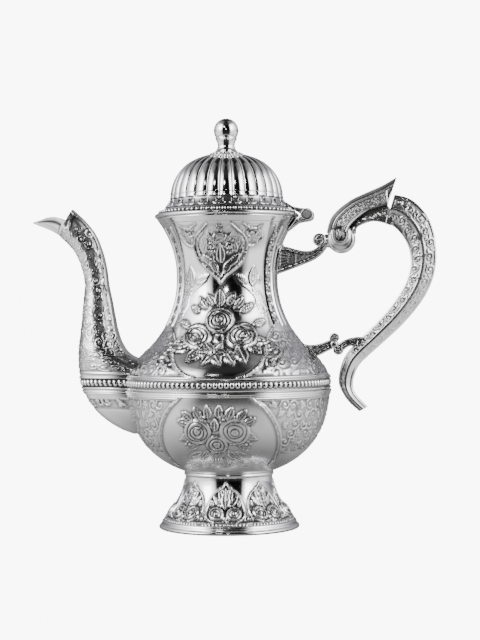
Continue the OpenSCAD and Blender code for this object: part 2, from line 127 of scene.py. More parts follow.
class Relief:
    """A height field in millimetres over flat coordinates u (sideways) and v (up)."""

    def __init__(self, u, v):
        self.u, self.v = u, v
        self.h = np.zeros_like(u)
        self.dark = np.zeros_like(u)

    def near(self, cu, cv, reach):
        return np.nonzero((np.abs(self.u - cu) < reach) & (np.abs(self.v - cv) < reach))

    def local(self, where, cu, cv, turn):
        a = math.radians(turn)
        x, y = self.u[where] - cu, self.v[where] - cv
        return x * math.cos(a) + y * math.sin(a), -x * math.sin(a) + y * math.cos(a)

    def raise_to(self, where, value, shade=0.0):
        """Lifts the field to value, and gives what comes out on top its own darkness."""
        on_top = value > np.maximum(self.h[where], 0.02)
        self.dark[where] = np.where(on_top, shade, self.dark[where])
        self.h[where] = np.maximum(self.h[where], value)

    def darken(self, least):
        """Makes the field at least this dark."""
        self.dark = np.maximum(self.dark, least)

    def add_patina_and_shade(self, more):
        """Makes the field this much darker: patina in some places, painted shade in others."""
        self.dark = np.clip(self.dark + more, 0, 1)

    def boss(self, cu, cv, a, b, height):
        w = self.near(cu, cv, max(a, b) * 1.05)
        q = ((self.u[w] - cu) / a) ** 2 + ((self.v[w] - cv) / b) ** 2
        self.raise_to(w, height * round_top(q))

    def leaf(self, cu, cv, length, width, turn, height, veins=1.0):
        w = self.near(cu, cv, length * 1.05 + width)
        x, y = self.local(w, cu, cv, turn)
        s = np.clip(x / length, 0, 1)
        inside = (x > 0) & (x < length)
        half = width / 2 * np.sin(PI * s**0.8) ** 0.85 + 1e-3
        q = np.abs(y) / half
        body = height * round_top(q**4) * (0.28 + 0.72 * q)
        rib = 0.5 * height * near_line(y, 0.32)
        vein = 0.16 * height * veins * np.cos(2 * PI * (x - 1.1 * np.abs(y)) / 1.7) * (q < 0.85)
        shade = 0.62 * smooth((0.8 - q) / 0.25) * (rib < 0.2 * height) * min(1.0, 0.5 + 0.4 * height)
        self.raise_to(w, np.where(inside & (q < 1), np.maximum(body + vein, rib + 0.35 * height), 0), shade)

    def rose(self, cu, cv, radius, height, turn, rings=(0.98, 0.74, 0.5, 0.27)):
        """A round bloom: petal rings one inside the next, each a little off centre, with grooves between."""
        w = self.near(cu, cv, radius * 1.2)
        x, y = self.local(w, cu, cv, turn)
        q = np.hypot(x, y) / radius
        body = height * np.clip(1 - (q / 1.04) ** 2.4, 0, 1) ** 0.5
        shade = np.full(q.shape, 0.12)
        for k, share in enumerate(rings):
            away = 0.07 * radius * (1 - share)
            ox, oy = x - away * math.cos(2.4 * k), y - away * math.sin(2.4 * k)
            ring = share * radius * (1 + 0.05 * np.cos(3 * np.arctan2(oy, ox) + 2.1 * k))
            gap = np.hypot(ox, oy) - ring
            if k:
                body -= 0.33 * height * near_line(gap, 0.4)
                shade = np.maximum(shade, min(0.95, 0.45 * height) * near_line(gap - 0.25, 0.55))
            body += 0.2 * height * near_line(gap + 0.95, 0.55)
        self.raise_to(w, np.where(q < 1.03, np.maximum(body, 0.05), 0), shade)

    def flower(self, cu, cv, radius, petals, height, turn=0):
        heart = 0.3 * radius
        w = self.near(cu, cv, radius * 1.05)
        x, y = self.local(w, cu, cv, turn)
        rho, ang = np.hypot(x, y), np.arctan2(y, x)
        lobe = np.abs(np.cos(petals * ang / 2))
        q = rho / (radius * (0.5 + 0.5 * lobe))
        petal = height * round_top(q**3) * (0.55 + 0.45 * q) * (0.45 + 0.55 * lobe)
        eye = height * 1.15 * round_top((rho / heart) ** 2)
        ring = np.abs(rho - heart) < 0.16 * radius
        shade = np.where(rho < heart, 0.0, np.where(ring, 0.9, 0.75 * smooth((0.8 - q) / 0.3)))
        self.raise_to(w, np.where(rho < heart, eye, np.where(ring, petal * 0.45, petal)), shade)

    def star(self, cu, cv, radius, petals, height):
        """A bloom of pointed petals that lies on top of what is beneath it."""
        w = self.near(cu, cv, radius)
        under = np.hypot(self.u[w] - cu, self.v[w] - cv) < 0.8 * radius
        self.h[w] = np.where(under, np.minimum(self.h[w], 0.25), self.h[w])
        self.dark[w] = np.where(under, np.maximum(self.dark[w], 0.5), self.dark[w])
        for k in range(petals):
            self.leaf(cu, cv, radius, 0.62 * radius, 360 * k / petals, height)
        self.boss(cu, cv, 0.2 * radius, 0.2 * radius, 1.3 * height)

    def stroke(self, points, width, height, taper=0.0):
        """A raised line along points, which gets thinner and lower towards its end when it tapers."""
        p = np.array(points, float)
        reach = width * 2.2
        low, high = p.min(0) - reach, p.max(0) + reach
        w = np.nonzero((self.u > low[0]) & (self.u < high[0]) & (self.v > low[1]) & (self.v < high[1]))
        if not len(w[0]):
            return
        u, v = self.u[w], self.v[w]
        best = np.full(u.shape, 1e9)
        at = np.zeros(u.shape)
        along = lengths(p)
        for i in range(len(p) - 1):
            d = p[i + 1] - p[i]
            span = float(d @ d)
            if span < 1e-9:
                continue
            t = np.clip(((u - p[i, 0]) * d[0] + (v - p[i, 1]) * d[1]) / span, 0, 1)
            gap = np.hypot(u - p[i, 0] - t * d[0], v - p[i, 1] - t * d[1])
            closer = gap < best
            best = np.where(closer, gap, best)
            at = np.where(closer, (along[i] + t * math.sqrt(span)) / along[-1], at)
        half = width / 2 * (1 - taper * at)
        self.raise_to(w, round_top((best / half) ** 2) * height * (1 - 0.5 * taper * at))

    def scroll(self, cu, cv, radius, turns, sign, start, width, height, tail=0.0):
        """A spiral line that winds in to (cu, cv), with a small ball at its heart."""
        t = np.linspace(0, 1, max(10, int(turns * 16)))
        r = radius * (1 - t) ** 0.8 + 0.12 * radius
        a = math.radians(start) + sign * t * turns * 2 * PI
        p = np.stack([cu + r * np.cos(a), cv + r * np.sin(a)], -1)
        if tail:
            a0 = math.radians(start)
            tangent = -sign * np.array([-math.sin(a0), math.cos(a0)])
            p = np.vstack([p[0] + tangent * tail, p[0] + tangent * tail * 0.5, p])
        self.stroke(p, width, height, 0.25)
        self.boss(cu, cv, width * 0.75, width * 0.75, height * 1.1)

    def filigree(self, inside, pitch, seed, height, matt=0.02, shade=0.3):
        """Fills the region where inside(u, v) is above a half with scrolls, leaves and small flowers."""
        rng = np.random.default_rng(seed)
        own = Relief(self.u, self.v)
        low_u, high_u = self.u.min(), self.u.max()
        low_v, high_v = self.v.min(), self.v.max()
        row = 0
        v = low_v + pitch * 0.4
        while v < high_v:
            u = low_u + (pitch / 2 if row % 2 else 0) + pitch * 0.2
            column = 0
            while u < high_u:
                cu = u + rng.uniform(-0.12, 0.12) * pitch
                cv = v + rng.uniform(-0.12, 0.12) * pitch
                if inside(np.array([cu]), np.array([cv]))[0] > 0.5:
                    kind = (row * 2 + column * 3 + int(rng.integers(0, 2))) % 5
                    start = rng.uniform(0, 360)
                    sign = 1 if (row + column) % 2 else -1
                    if kind in (0, 3):
                        own.scroll(cu, cv, pitch * 0.42, 1.15, sign, start, pitch * 0.17, height, pitch * 0.4)
                    elif kind == 1:
                        own.flower(cu, cv, pitch * 0.4, 5 + row % 2, height * 1.15, start)
                    else:
                        own.leaf(cu - 0.3 * pitch * math.cos(math.radians(start)),
                                 cv - 0.3 * pitch * math.sin(math.radians(start)),
                                 pitch * 0.85, pitch * 0.38, start, height, 0)
                        own.leaf(cu, cv, pitch * 0.6, pitch * 0.28, start + sign * 55, height * 0.9, 0)
                u += pitch
                column += 1
            v += pitch * 0.86
            row += 1
        mask = smooth(inside(self.u, self.v) * 2 - 0.5)
        grain = rng.normal(0, 1, self.u.shape) * matt
        ground = -0.2 * mask
        self.h = self.h + np.where(self.h > 0.05, 0, mask * (own.h + grain + ground))
        self.darken(mask * np.where(own.h > 0.12, 0.0, shade))


def blur(field, reach, closed):
    out = sum(np.roll(field, k, axis=1) for k in range(-reach, reach + 1)) / (2 * reach + 1)
    if closed:
        return sum(np.roll(out, k, axis=0) for k in range(-reach, reach + 1)) / (2 * reach + 1)
    padded = np.pad(out, ((reach, reach), (0, 0)), mode="edge")
    rows = field.shape[0]
    return sum(padded[k : k + rows] for k in range(2 * reach + 1)) / (2 * reach + 1)


# ---------------------------------------------------------------- meshes


def volume(points, quads):
    a, b, c, d = (points[quads[:, k]] for k in range(4))
    return (np.einsum("ij,ij->", a, np.cross(b, c)) + np.einsum("ij,ij->", a, np.cross(c, d))) / 6


def sheet_part(base, height, dark, closed, hollow=0.32):
    """A closed skin over a grid of points, rows x columns, whose columns wrap round.
    The rows wrap too when closed, and otherwise each end is shut by a fan.
    Patina fills what lies hollow mm below its surroundings, and dark adds to it, which on a few pieces is
    painted shade. Returns (points, faces, mark of patina and painted shade)."""
    rows, cols = base.shape[:2]
    index = np.arange(rows * cols).reshape(rows, cols)
    ring = np.vstack([index, index[:1]]) if closed else index
    a, b = ring[:-1], ring[1:]
    quads = np.stack([a, np.roll(a, -1, 1), np.roll(b, -1, 1), b], -1).reshape(-1, 4)
    flat = base.reshape(-1, 3)
    centre = flat.mean(0)
    flip = volume(flat - centre, quads) < 0
    if height is None:
        height = np.zeros((rows, cols))
    across = np.roll(base, -1, 1) - np.roll(base, 1, 1)
    if closed:
        along = np.roll(base, -1, 0) - np.roll(base, 1, 0)
    else:
        along = np.gradient(base, axis=0)
    normal = np.cross(across, along)
    normal /= np.maximum(np.linalg.norm(normal, axis=2, keepdims=True), 1e-9)
    if flip:
        normal = -normal
        quads = quads[:, ::-1]
    points = (base + normal * height[..., None]).reshape(-1, 3)
    wide = np.clip((blur(height, 3, closed) - height) / hollow, 0, 1)
    fine = np.clip((blur(height, 1, closed) - height) / (0.35 * hollow), 0, 1)
    patina_and_shade = np.maximum(wide, 0.6 * fine)
    if dark is not None:
        patina_and_shade = np.clip(patina_and_shade + dark, 0, 1)
    patina_and_shade = patina_and_shade.reshape(-1)
    faces = quads.tolist()
    if not closed:
        for row, turned in ((0, not flip), (rows - 1, flip)):
            points = np.vstack([points, points[index[row]].mean(0)])
            patina_and_shade = np.append(patina_and_shade, patina_and_shade[index[row]].mean())
            hub = len(points) - 1
            edge = index[row]
            for p, q in zip(edge, np.roll(edge, -1)):
                faces.append([int(q), int(p), hub] if turned else [int(p), int(q), hub])
    return points, faces, patina_and_shade


def add_piece(name, parts, body, material):
    """One object made of one or more closed parts, riding on a body in place of the CAD node of its name."""
    points, faces, patina_and_shade = [], [], []
    for part in parts:
        shift = sum(len(p) for p in points)
        points.append(part[0])
        faces += [[i + shift for i in face] for face in part[1]]
        patina_and_shade.append(part[2])
    mesh = bpy.data.meshes.new(name)
    mesh.from_pydata((np.vstack(points) * MM).tolist(), [], faces)
    mesh.shade_smooth()
    # a mark per point: patina in the hollows, and painted shade on a few pieces
    layer = mesh.attributes.new("patina_and_shade", "FLOAT", "POINT")
    layer.data.foreach_set("value", np.concatenate(patina_and_shade).astype(np.float32))
    mesh.set_sharp_from_angle(angle=SHARP_ANGLE)
    mesh.materials.append(material)
    piece = bpy.data.objects.new(name, mesh)
    bpy.context.scene.collection.objects.link(piece)
    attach(piece, body)
    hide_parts(name)


def ring_angles(columns, crowd):
    """Angles in degrees from the front (-Y), closer together at the front and back when crowd is above 0."""
    t = np.arange(columns) / columns * 2 * PI
    return np.degrees(t - crowd / 2 * np.sin(2 * t))


def turned(outer, inner, columns, relief=None, rows=None, spacing=0.6, crowd=0.0, closed=True):
    """A turned shell: outer is the relief side, inner the rest of the loop back to its start.
    relief(phi, v, r, z) gives a Relief over the outer side, with v along the outline."""
    outer = np.array(outer, float)
    count = rows or max(3, int(lengths(outer)[-1] / spacing))
    front = resample(outer, count)
    loop = np.vstack([front, np.array(inner, float)]) if len(inner) else front
    phi = ring_angles(columns, crowd)
    theta = np.radians(phi - 90)
    level = np.repeat(loop[:, 1:2], columns, 1)
    base = np.stack([loop[:, :1] * np.cos(theta), loop[:, :1] * np.sin(theta), level], -1)
    height = np.zeros(base.shape[:2])
    dark = np.zeros(base.shape[:2])
    if relief is not None:
        v = np.repeat(lengths(front)[:, None], columns, 1)
        r = np.repeat(front[:, :1], columns, 1)
        z = np.repeat(front[:, 1:2], columns, 1)
        made = relief(np.repeat(phi[None, :], count, 0), v, r, z)
        height[:count], dark[:count] = made.h, made.dark
    return sheet_part(base, height, dark, closed)


def add_turned(name, body, slot, material, *shape, **how):
    add_piece(name, [turned(*shape, **how)], body, material)


def swept(stations, columns, section, relief, spacing, straight=False):
    """A piece swept through stations [ax, az, bx, bz, half width], first edge a and second edge b.
    section(count) gives (t, y) round one ring, t from edge a to edge b and y as a share of the half width.
    relief(s, t, side, width, half) gives a Relief for the whole skin, with s along the piece."""
    path = np.array(stations, float) if straight else spline(stations)
    mid = (path[:, :2] + path[:, 2:4]) / 2
    along = lengths(mid)
    count = max(4, int(along[-1] / spacing))
    at = np.linspace(0, along[-1], count)
    path = np.stack([np.interp(at, along, path[:, k]) for k in range(path.shape[1])], -1)
    t, y = section(columns)
    a, b, half = path[:, :2], path[:, 2:4], path[:, 4]
    place = a[:, None, :] + (b - a)[:, None, :] * t[None, :, None]
    base = np.stack([place[..., 0], half[:, None] * y[None, :], place[..., 1]], -1)
    height = dark = None
    if relief is not None:
        width = np.linalg.norm(b - a, axis=1)
        s = np.repeat(at[:, None], len(t), 1)
        side = np.repeat(np.sign(y)[None, :], count, 0)
        across = [np.repeat(row[:, None], len(t), 1) for row in (width, half)]
        made = relief(s, np.repeat(t[None, :], count, 0), side, *across)
        height, dark = made.h, made.dark
    return sheet_part(base, height, dark, False, 0.3)


def ellipse(columns):
    a = 2 * PI * (np.arange(columns) + 0.5) / columns
    return (1 - np.cos(a)) / 2, np.sin(a)


def disc(centre, radius, half, columns, relief, edge, bulge=0.0):
    """A round boss along Y: both faces take relief(x, z) in mm from its centre, and the rim is rounded."""
    t = np.linspace(0, 1, max(4, int((radius - edge) / 0.45)))
    face = [[0.05 + (radius - edge - 0.05) * k, half + bulge * (1 - k * k)] for k in t]
    turn = np.linspace(0, PI / 2, 5)[1:]
    corner = [[radius - edge + edge * math.sin(k), half - edge + edge * math.cos(k)] for k in turn]
    side = np.array(face + corner)
    loop = np.vstack([side, side[::-1] * [1, -1]])
    a = np.arange(columns) / columns * 2 * PI
    x, z = loop[:, :1] * np.cos(a), loop[:, :1] * np.sin(a)
    base = np.stack([centre[0] + x, np.repeat(loop[:, 1:2], columns, 1), centre[1] + z], -1)
    height = dark = None
    if relief is not None:
        made = relief(x, z)
        flat = (loop[:, 0] < radius - edge * 0.5)[:, None]
        height, dark = made.h * flat, made.dark * flat
    return sheet_part(base, height, dark, False, 0.35)


# ---------------------------------------------------------------- materials


def node(tree, kind, **sockets):
    made = tree.nodes.new(kind)
    for key, value in sockets.items():
        made.inputs[key.replace("_", " ")].default_value = value
    return made


def colour_mix(tree, factor, first, second):
    mix = tree.nodes.new("ShaderNodeMix")
    mix.data_type = "RGBA"
    tree.links.new(factor, mix.inputs[0])
    for socket, value in ((mix.inputs[6], first), (mix.inputs[7], second)):
        if isinstance(value, bpy.types.NodeSocket):
            tree.links.new(value, socket)
        else:
            socket.default_value = (*value, 1)
    return mix.outputs[2]


def spread(tree, value, low, high, to_low, to_high):
    made = node(tree, "ShaderNodeMapRange", From_Min=low, From_Max=high, To_Min=to_low, To_Max=to_high)
    tree.links.new(value, made.inputs["Value"])
    return made.outputs["Result"]


def metal(name, colour, patina_and_shade_colour, rough, patina_rough, grain, cast=0.0):
    """Polished metal that is dark and dull where the mesh's mark is high: patina in its hollows, and painted
    shade on a few pieces.
    """
    material = bpy.data.materials.new(name)
    material.use_nodes = True
    tree = material.node_tree
    shader = tree.nodes["Principled BSDF"]
    shader.inputs["Metallic"].default_value = 1.0
    place = tree.nodes.new("ShaderNodeTexCoord").outputs["Object"]
    # reads the mark: patina in the hollows, and painted shade on a few pieces
    hollow = tree.nodes.new("ShaderNodeAttribute")
    hollow.attribute_name = "patina_and_shade"
    cloud = node(tree, "ShaderNodeTexNoise", Scale=70.0, Detail=4.0, Roughness=0.6)
    fine = node(tree, "ShaderNodeTexNoise", Scale=900.0, Detail=3.0, Roughness=0.7)
    tree.links.new(place, cloud.inputs["Vector"])
    tree.links.new(place, fine.inputs["Vector"])
    tarnish = spread(tree, cloud.outputs["Fac"], 0.35, 0.75, 0.0, cast + 0.05)
    total = tree.nodes.new("ShaderNodeMath")
    total.operation = "ADD"
    total.use_clamp = True
    tree.links.new(hollow.outputs["Fac"], total.inputs[0])
    tree.links.new(tarnish, total.inputs[1])
    tree.links.new(colour_mix(tree, total.outputs[0], colour, patina_and_shade_colour), shader.inputs["Base Color"])
    shine = spread(tree, total.outputs[0], 0.0, 1.0, rough, patina_rough)
    tree.links.new(shine, shader.inputs["Roughness"])
    bump = node(tree, "ShaderNodeBump", Strength=grain, Distance=0.0004)
    tree.links.new(fine.outputs["Fac"], bump.inputs["Height"])
    tree.links.new(bump.outputs["Normal"], shader.inputs["Normal"])
    return material


silver = metal("plated_silver", (0.93, 0.925, 0.92), (0.045, 0.043, 0.044), 0.09, 0.4, 0.02)
satin = metal("satin_silver", (0.88, 0.875, 0.89), (0.055, 0.052, 0.055), 0.2, 0.45, 0.03)
cast_silver = metal("cast_silver", (0.80, 0.795, 0.79), (0.03, 0.029, 0.028), 0.18, 0.45, 0.05, 0.05)
spout_silver = metal("spout_silver", (0.87, 0.86, 0.855), (0.035, 0.033, 0.033), 0.13, 0.4, 0.04, 0.03)
steel = metal("pin_steel", (0.55, 0.55, 0.56), (0.2, 0.2, 0.2), 0.32, 0.5, 0.06)
brass = metal("bare_brass", (0.78, 0.57, 0.27), (0.3, 0.19, 0.08), 0.3, 0.5, 0.08)

# ---------------------------------------------------------------- foot

foot_line = bezier([[43.7, BASE_TOP], [41.5, 8], [27.8, 16.5], [27.8, FOOT_TOP]], 60)


def foot_relief(phi, v, r, z):
    turn = fold(phi, 2.8, 45)
    made = Relief(np.radians(turn) * r, v)
    half = [[0, 7.6], [2.4, 6.2], [6.2, 5.8], [10.2, 7.6], [12.2, 11], [12.2, 15],
            [10.8, 19.2], [9.2, 23], [6.4, 26.4], [3.2, 28.6], [1.1, 30.6], [0, 32.4]]
    for side in (-1, 1):
        for cu, cv, length, width, lean, height in [
            (0.6, 20, 10.5, 5.4, 16, 0.9), (2.2, 17.5, 9, 3.6, 40, 0.8),
            (5.2, 18.5, 6.5, 2.6, 12, 0.7), (9.0, 17.2, 5, 2.4, -8, 0.7), (15.0, 10.5, 4.6, 2.2, 0, 0.6),
        ]:
            made.leaf(side * cu, cv, length, width, 90 - side * lean, height)
        made.rose(side * 5.6, 12.0, 4.9, 1.7, 40 + side * 60, (0.98, 0.62, 0.3))
        made.scroll(side * 14.5, 8.6, 2.1, 1.1, side, 90, 0.8, 0.5)
        made.stroke(spline([[side * a, b] for a, b in half], 6), 1.15, 0.85)
    made.leaf(0, 15.2, 14.5, 5.4, 90, 1.25)
    made.boss(0, 9.2, 1.6, 1.2, 0.8)
    for k in range(-6, 7):
        made.boss(k * 2.3, 4.2, 0.8, 0.7, 0.5)
    whole = Relief(phi, v)
    whole.h = np.maximum(made.h, 0.45 * near_line(v - 2.4, 0.5))
    reach = np.interp(v, [5.8, 11, 15, 19.2, 26.4, 32.4], [9, 12.2, 12.2, 10.8, 6.4, 0.3])
    lobe = smooth((reach - np.abs(made.u)) / 1.2)
    band = smooth((v - 5.6) / 0.8) * smooth((12 - v) / 2.5)
    inside = np.maximum(lobe * (v > 6) * (v < 32.5), band)
    whole.h -= 0.35 * inside * (whole.h < 0.12)
    whole.dark = np.maximum(made.dark, 0.35 * inside * (whole.h < 0.1))
    return whole


inner_foot = bezier([[26.4, FOOT_TOP], [26.4, 17], [39.6, 8], [42, BASE_TOP]], 14)
add_turned("foot", "pot", "plated_sheet", silver,
           foot_line, inner_foot[:-1], 640, foot_relief, spacing=0.5)

base_outer = [[40, 0], [44.1, 0], [44.6, 0.25], [44.9, 0.8], [44.9, 1.5], [44.3, 2.3],
              [43.7, BASE_TOP], [41, BASE_TOP]]
add_turned("foot_base_ring", "pot", "plated_sheet", silver,
           base_outer, [[36, BASE_TOP], [36, 0]], 256, spacing=0.35)

collar_bulge = bezier([[28.0, FOOT_TOP], [28.9, 34], [28.9, 35.6], [28.1, COLLAR_TOP]], 10)
collar_outer = join([[24, FOOT_TOP]], collar_bulge, [[24, COLLAR_TOP]])
add_turned("foot_collar", "pot", "plated_sheet", silver,
           collar_outer, [[22, COLLAR_TOP], [22, FOOT_TOP]], 256, spacing=0.3)

# ---------------------------------------------------------------- bowl

bowl_line = bezier([[28.4, COLLAR_TOP], [50.5, 44], [63, 60.4], [BELT_RADIUS, BELT_LOW]], 90)
bowl_outer = join(bowl_line, [[BELT_RADIUS, SEAM]])


def bowl_relief(phi, v, r, z):
    turn = fold(phi, 0, 180)
    made = Relief(np.radians(turn) * r, v)
    for cu, cv, length, width, angle in [
        (-16.5, 49.5, 8.5, 5.4, 168), (-14.5, 51, 9, 5.6, 140), (-9.5, 52, 8.6, 5.4, 118),
        (-4.5, 52.5, 8.4, 5, 98), (1.5, 53, 8.2, 5.2, 84), (7, 52.5, 8.2, 5.2, 66),
        (13, 51.5, 8.6, 5.2, 48), (17, 49.5, 8, 5, 22), (-16, 42, 8, 4.4, 200), (16.5, 42.5, 8, 4.4, -18),
        (-12, 36, 9, 4.2, 218), (12, 36, 9, 4.2, -36), (-6, 30, 9.5, 4, 238), (6, 30, 9.5, 4, -57),
        (-1.5, 26.5, 8.5, 3.8, 262), (2.5, 26.5, 8.5, 3.8, -78),
        (-19, 39, 6, 3, 188), (19, 39, 6, 3, -6), (10, 29, 11, 3.4, -28), (-10, 29, 11, 3.4, 206),
    ]:
        made.leaf(cu, cv, length, width, angle, 1.15 if cv > 49 else 0.6)
    for cu in (-8.5, 4.5, 9.5):
        made.flower(cu, 52, 3.0, 5, 1.0, 20 * cu)
    made.rose(-11.8, 44, 8.4, 1.5, 20)
    made.rose(11.2, 44, 9.2, 0.95, 200)
    made.rose(-0.4, 35.2, 6.6, 1.2, 120, (0.98, 0.68, 0.36))
    made.flower(-17.5, 35, 3.6, 6, 0.7)
    made.flower(17.5, 35, 3.6, 6, 0.7)
    made.leaf(-1, 44.5, 8.4, 5.2, 90, 1.3)
    # shield border and the engraved fields beside it
    line = spline([[31, 14], [36, 23], [38.5, 33], [38, 43],
                   [34.5, 51.5], [29.5, 58.5], [24.5, 63], [21, 66.4]], 5)
    for side in (-1, 1):
        made.stroke(line * [side, 1], 1.1, 0.75)
        made.stroke(line * [side, 1] + [side * 1.9, 0], 0.6, 0.35)

    def border(w):
        return np.interp(w, line[:, 1], line[:, 0])

    def beside(u, w):
        sides = smooth((np.abs(u) - border(w) - 2.4) / 1.2)
        return sides * smooth((w - 19 - 0.12 * np.abs(u)) / 3) * smooth((64 - w) / 1.5)

    made.filigree(beside, 7.4, 11, 0.42, shade=0.2)
    # painted shade: the lower bowl darkens towards the foot, standing in for the shadowed floor it mirrors
    # there
    made.add_patina_and_shade(0.3 * smooth((24 - v) / 14))
    made.h += 0.5 * near_line(v - 64.6, 0.5) * smooth((np.abs(made.u) - border(v)) / 2)
    return made


bowl_inner = join(
    [[63.4, SEAM]],
    bezier([[63.4, BELT_LOW], [61.4, 61.4], [49, 45.6], [30, 38.6]], 10),
    [[28, 37.8], [4, 37.8], [4, COLLAR_TOP]],
)
add_turned("lower_bowl", "pot", "plated_sheet", satin,
           bowl_outer, bowl_inner, 640, bowl_relief, rows=128, crowd=0.28)

# ---------------------------------------------------------------- upper body

upper_outer = join(
    [[BELT_RADIUS, SEAM]],
    bezier([[BELT_RADIUS, BELT_TOP], [62.7, 98.5], [64.8, 102.2], [51.2, 114.4]], 40),
    bezier([[51.2, 114.4], [46.2, 118.8], [WAIST_RADIUS, 134.4], [WAIST_RADIUS, WAIST]], 50),
    bezier([[WAIST_RADIUS, WAIST], [WAIST_RADIUS, 163.4], [31.5, 176.9], [42.2, BODY_TOP]], 40),
)


def upper_relief(phi, v, r, z):
    turn = fold(phi, 0, 180)
    made = Relief(np.radians(turn) * r, v)
    # cartouche under the lip: a heart that points down, open at the top, with ornament beside it
    half = [[0, 73.5], [3.2, 78.2], [8.5, 82.5], [13.8, 88], [16.4, 93.5],
            [17.2, 99], [15.6, 103.5], [11.6, 107.8], [7.4, 112.4]]
    line = spline(half, 6)
    corner_low = [[17, 98.4], [20, 97.2], [24.5, 99.6], [28.5, 104]]
    corner_high = [[15, 112.4], [19, 109.5], [23.5, 109], [28.5, 111.6]]
    for side in (-1, 1):
        made.stroke(line * [side, 1], 1.1, 0.75)
        made.stroke((line[:42] - [0, 92]) * [side * 0.84, 0.86] + [0, 93.4], 0.7, 0.5)
        made.stroke(spline(corner_low, 5) * [side, 1], 0.9, 0.55)
        made.stroke(spline(corner_high, 5) * [side, 1], 1.0, 0.6)
        made.stroke([[side * 9, 76], [side * 17, 70.5], [side * 24, 63.5]], 0.8, 0.4)
        for cu, cv, length, width, lean, height in [
            # in the corners, then in the heart
            (20.5, 100, 7.5, 3.6, 30, 0.7), (2.2, 80.5, 9, 4.2, 26, 0.9), (5.4, 85, 9.5, 4.2, 42, 0.85),
            (9.6, 93.5, 8, 3.8, -12, 0.8), (3.0, 99.5, 7, 3.2, 34, 0.75),
            # thin leaf spray beside the bouquet
            (20, 72, 13, 6.4, 6, 0.55), (20.5, 70.5, 15, 5.4, 142, 0.5), (23, 66, 13, 4.6, 158, 0.5),
            (17, 74, 11, 4.6, -62, 0.5), (27.5, 60, 8, 3.2, -14, 0.45),
        ]:
            made.leaf(side * cu, cv, length, width, 90 - side * lean, height)
        made.scroll(side * 19.6, 105.4, 2.6, 1.2, side, 100, 0.9, 0.6, 2)
        made.scroll(side * 5.8, 96.6, 3, 1.3, side, -80, 1.1, 0.75, 2)
        made.scroll(side * 28.5, 55.5, 3, 1.2, -side, 120, 1, 0.5, 2)
        made.flower(side * 25, 106.2, 2.2, 5, 0.6)
        made.flower(side * 24.5, 76.5, 2.7, 5, 0.5)
    made.leaf(0, 86, 13, 5.4, 90, 1.05)
    made.flower(0, 109.2, 2.6, 6, 0.7)
    made.stroke(bezier([[-4.2, 103.6], [-2, 106], [2, 106], [4.2, 103.6]], 10), 0.9, 0.7)

    def in_cartouche(u, w):
        reach = np.interp(w, line[:, 1], line[:, 0], left=0, right=7)
        heart = smooth((reach - np.abs(u)) / 1.2) * (w > 73.5)
        floor_line = np.interp(np.abs(u), *zip(*corner_low))
        corner = smooth((np.abs(u) - reach) / 1.2) * smooth((28.5 - np.abs(u)) / 1)
        corner *= smooth((w - floor_line) / 0.8)
        return np.maximum(heart, corner * (w > 96)) * smooth((112.8 - w) / 0.6)

    made.filigree(in_cartouche, 4.8, 5, 0.4, shade=0.16)
    # bouquet
    for cu, cv, length, width, angle, height in [
        (-0.6, 58.6, 11.5, 7.0, 90, 1.8), (-4, 60, 8.5, 5, 125, 1.5), (4, 60, 8.5, 5, 55, 1.5),
        (-8.5, 57.5, 10, 5.2, 128, 1.6), (8.5, 57.5, 10, 5.2, 52, 1.6), (-13, 55.5, 8.5, 4.4, 150, 1.5),
        (12, 55.5, 11, 4.8, 28, 1.5), (-20, 46, 9.5, 5, 160, 1.4), (21, 46.5, 9.5, 5, 18, 1.4),
        (-21, 35, 10, 6, 188, 1.5), (21.5, 35.5, 11, 6.4, -12, 1.6), (-17, 31.5, 14, 7.6, 204, 1.7),
        (19, 32, 12, 7.4, -44, 1.8), (-10, 28, 15, 8.4, 232, 1.8), (12, 29.5, 15, 8.6, -66, 1.9),
        (4, 27, 14, 8, -60, 1.8),
    ]:
        made.leaf(cu, cv, length, width, angle, height)
    made.boss(0, 36, 3.4, 4.6, 1.6)
    made.rose(-0.4, 49.2, 8.8, 2.5, 30)
    made.rose(-14.2, 37.4, 9.4, 2.4, 190)
    made.rose(14.4, 37.6, 9.8, 2.5, -30)
    made.star(-3.0, 24.4, 11.4, 6, 1.8)
    # panel borders and the ornamented strips beside them, from the shoulder to the lip
    strip_in, strip_out = 53, 66
    angle = np.abs(turn)
    upright = smooth((v - 44) / 3) * smooth((112 - v) / 1.5)
    for at, tall in ((strip_in, 0.9), (strip_out, 0.7), (strip_out + 8, 0.5)):
        made.h = np.maximum(made.h, tall * upright * near_line(np.radians(angle - at) * r, 0.62))
    strip = Relief(np.radians(angle - (strip_in + strip_out) / 2) * r, v)

    def in_strip(u, w):
        wide = np.interp(w, v[:, 0], r[:, 0]) * math.radians(strip_out - strip_in) / 2
        return smooth((wide - 0.9 - np.abs(u)) / 0.8) * smooth((w - 46) / 3) * smooth((111 - w) / 2)

    near_strip = np.abs(strip.u) < 8
    strip.u = np.where(near_strip, strip.u, 60.0)
    strip_band(strip, in_strip)
    made.h += np.where(near_strip, strip.h, 0)
    made.darken(np.where(near_strip, strip.dark, 0))
    # engraved fields on the shoulder, behind a curved border
    low_edge = spline([[13, 5.8], [20, 8.5], [25.5, 13], [29, 19],
                       [30.5, 26], [30.2, 33], [33, 40], [36, 45]], 5)
    for side in (-1, 1):
        made.stroke(low_edge * [side, 1], 1.2, 0.8)
        made.scroll(side * 36, 16.5, 4.6, 1.4, side, 160, 1.3, 0.9, 3)
        made.scroll(side * 33.5, 29.5, 3.2, 1.3, -side, 60, 1.1, 0.8, 2)
        made.leaf(side * 30.5, 12, 10, 4.4, 90 - side * 70, 0.9)
        made.leaf(side * 38, 24, 10, 4.6, 90 + side * 24, 0.9)

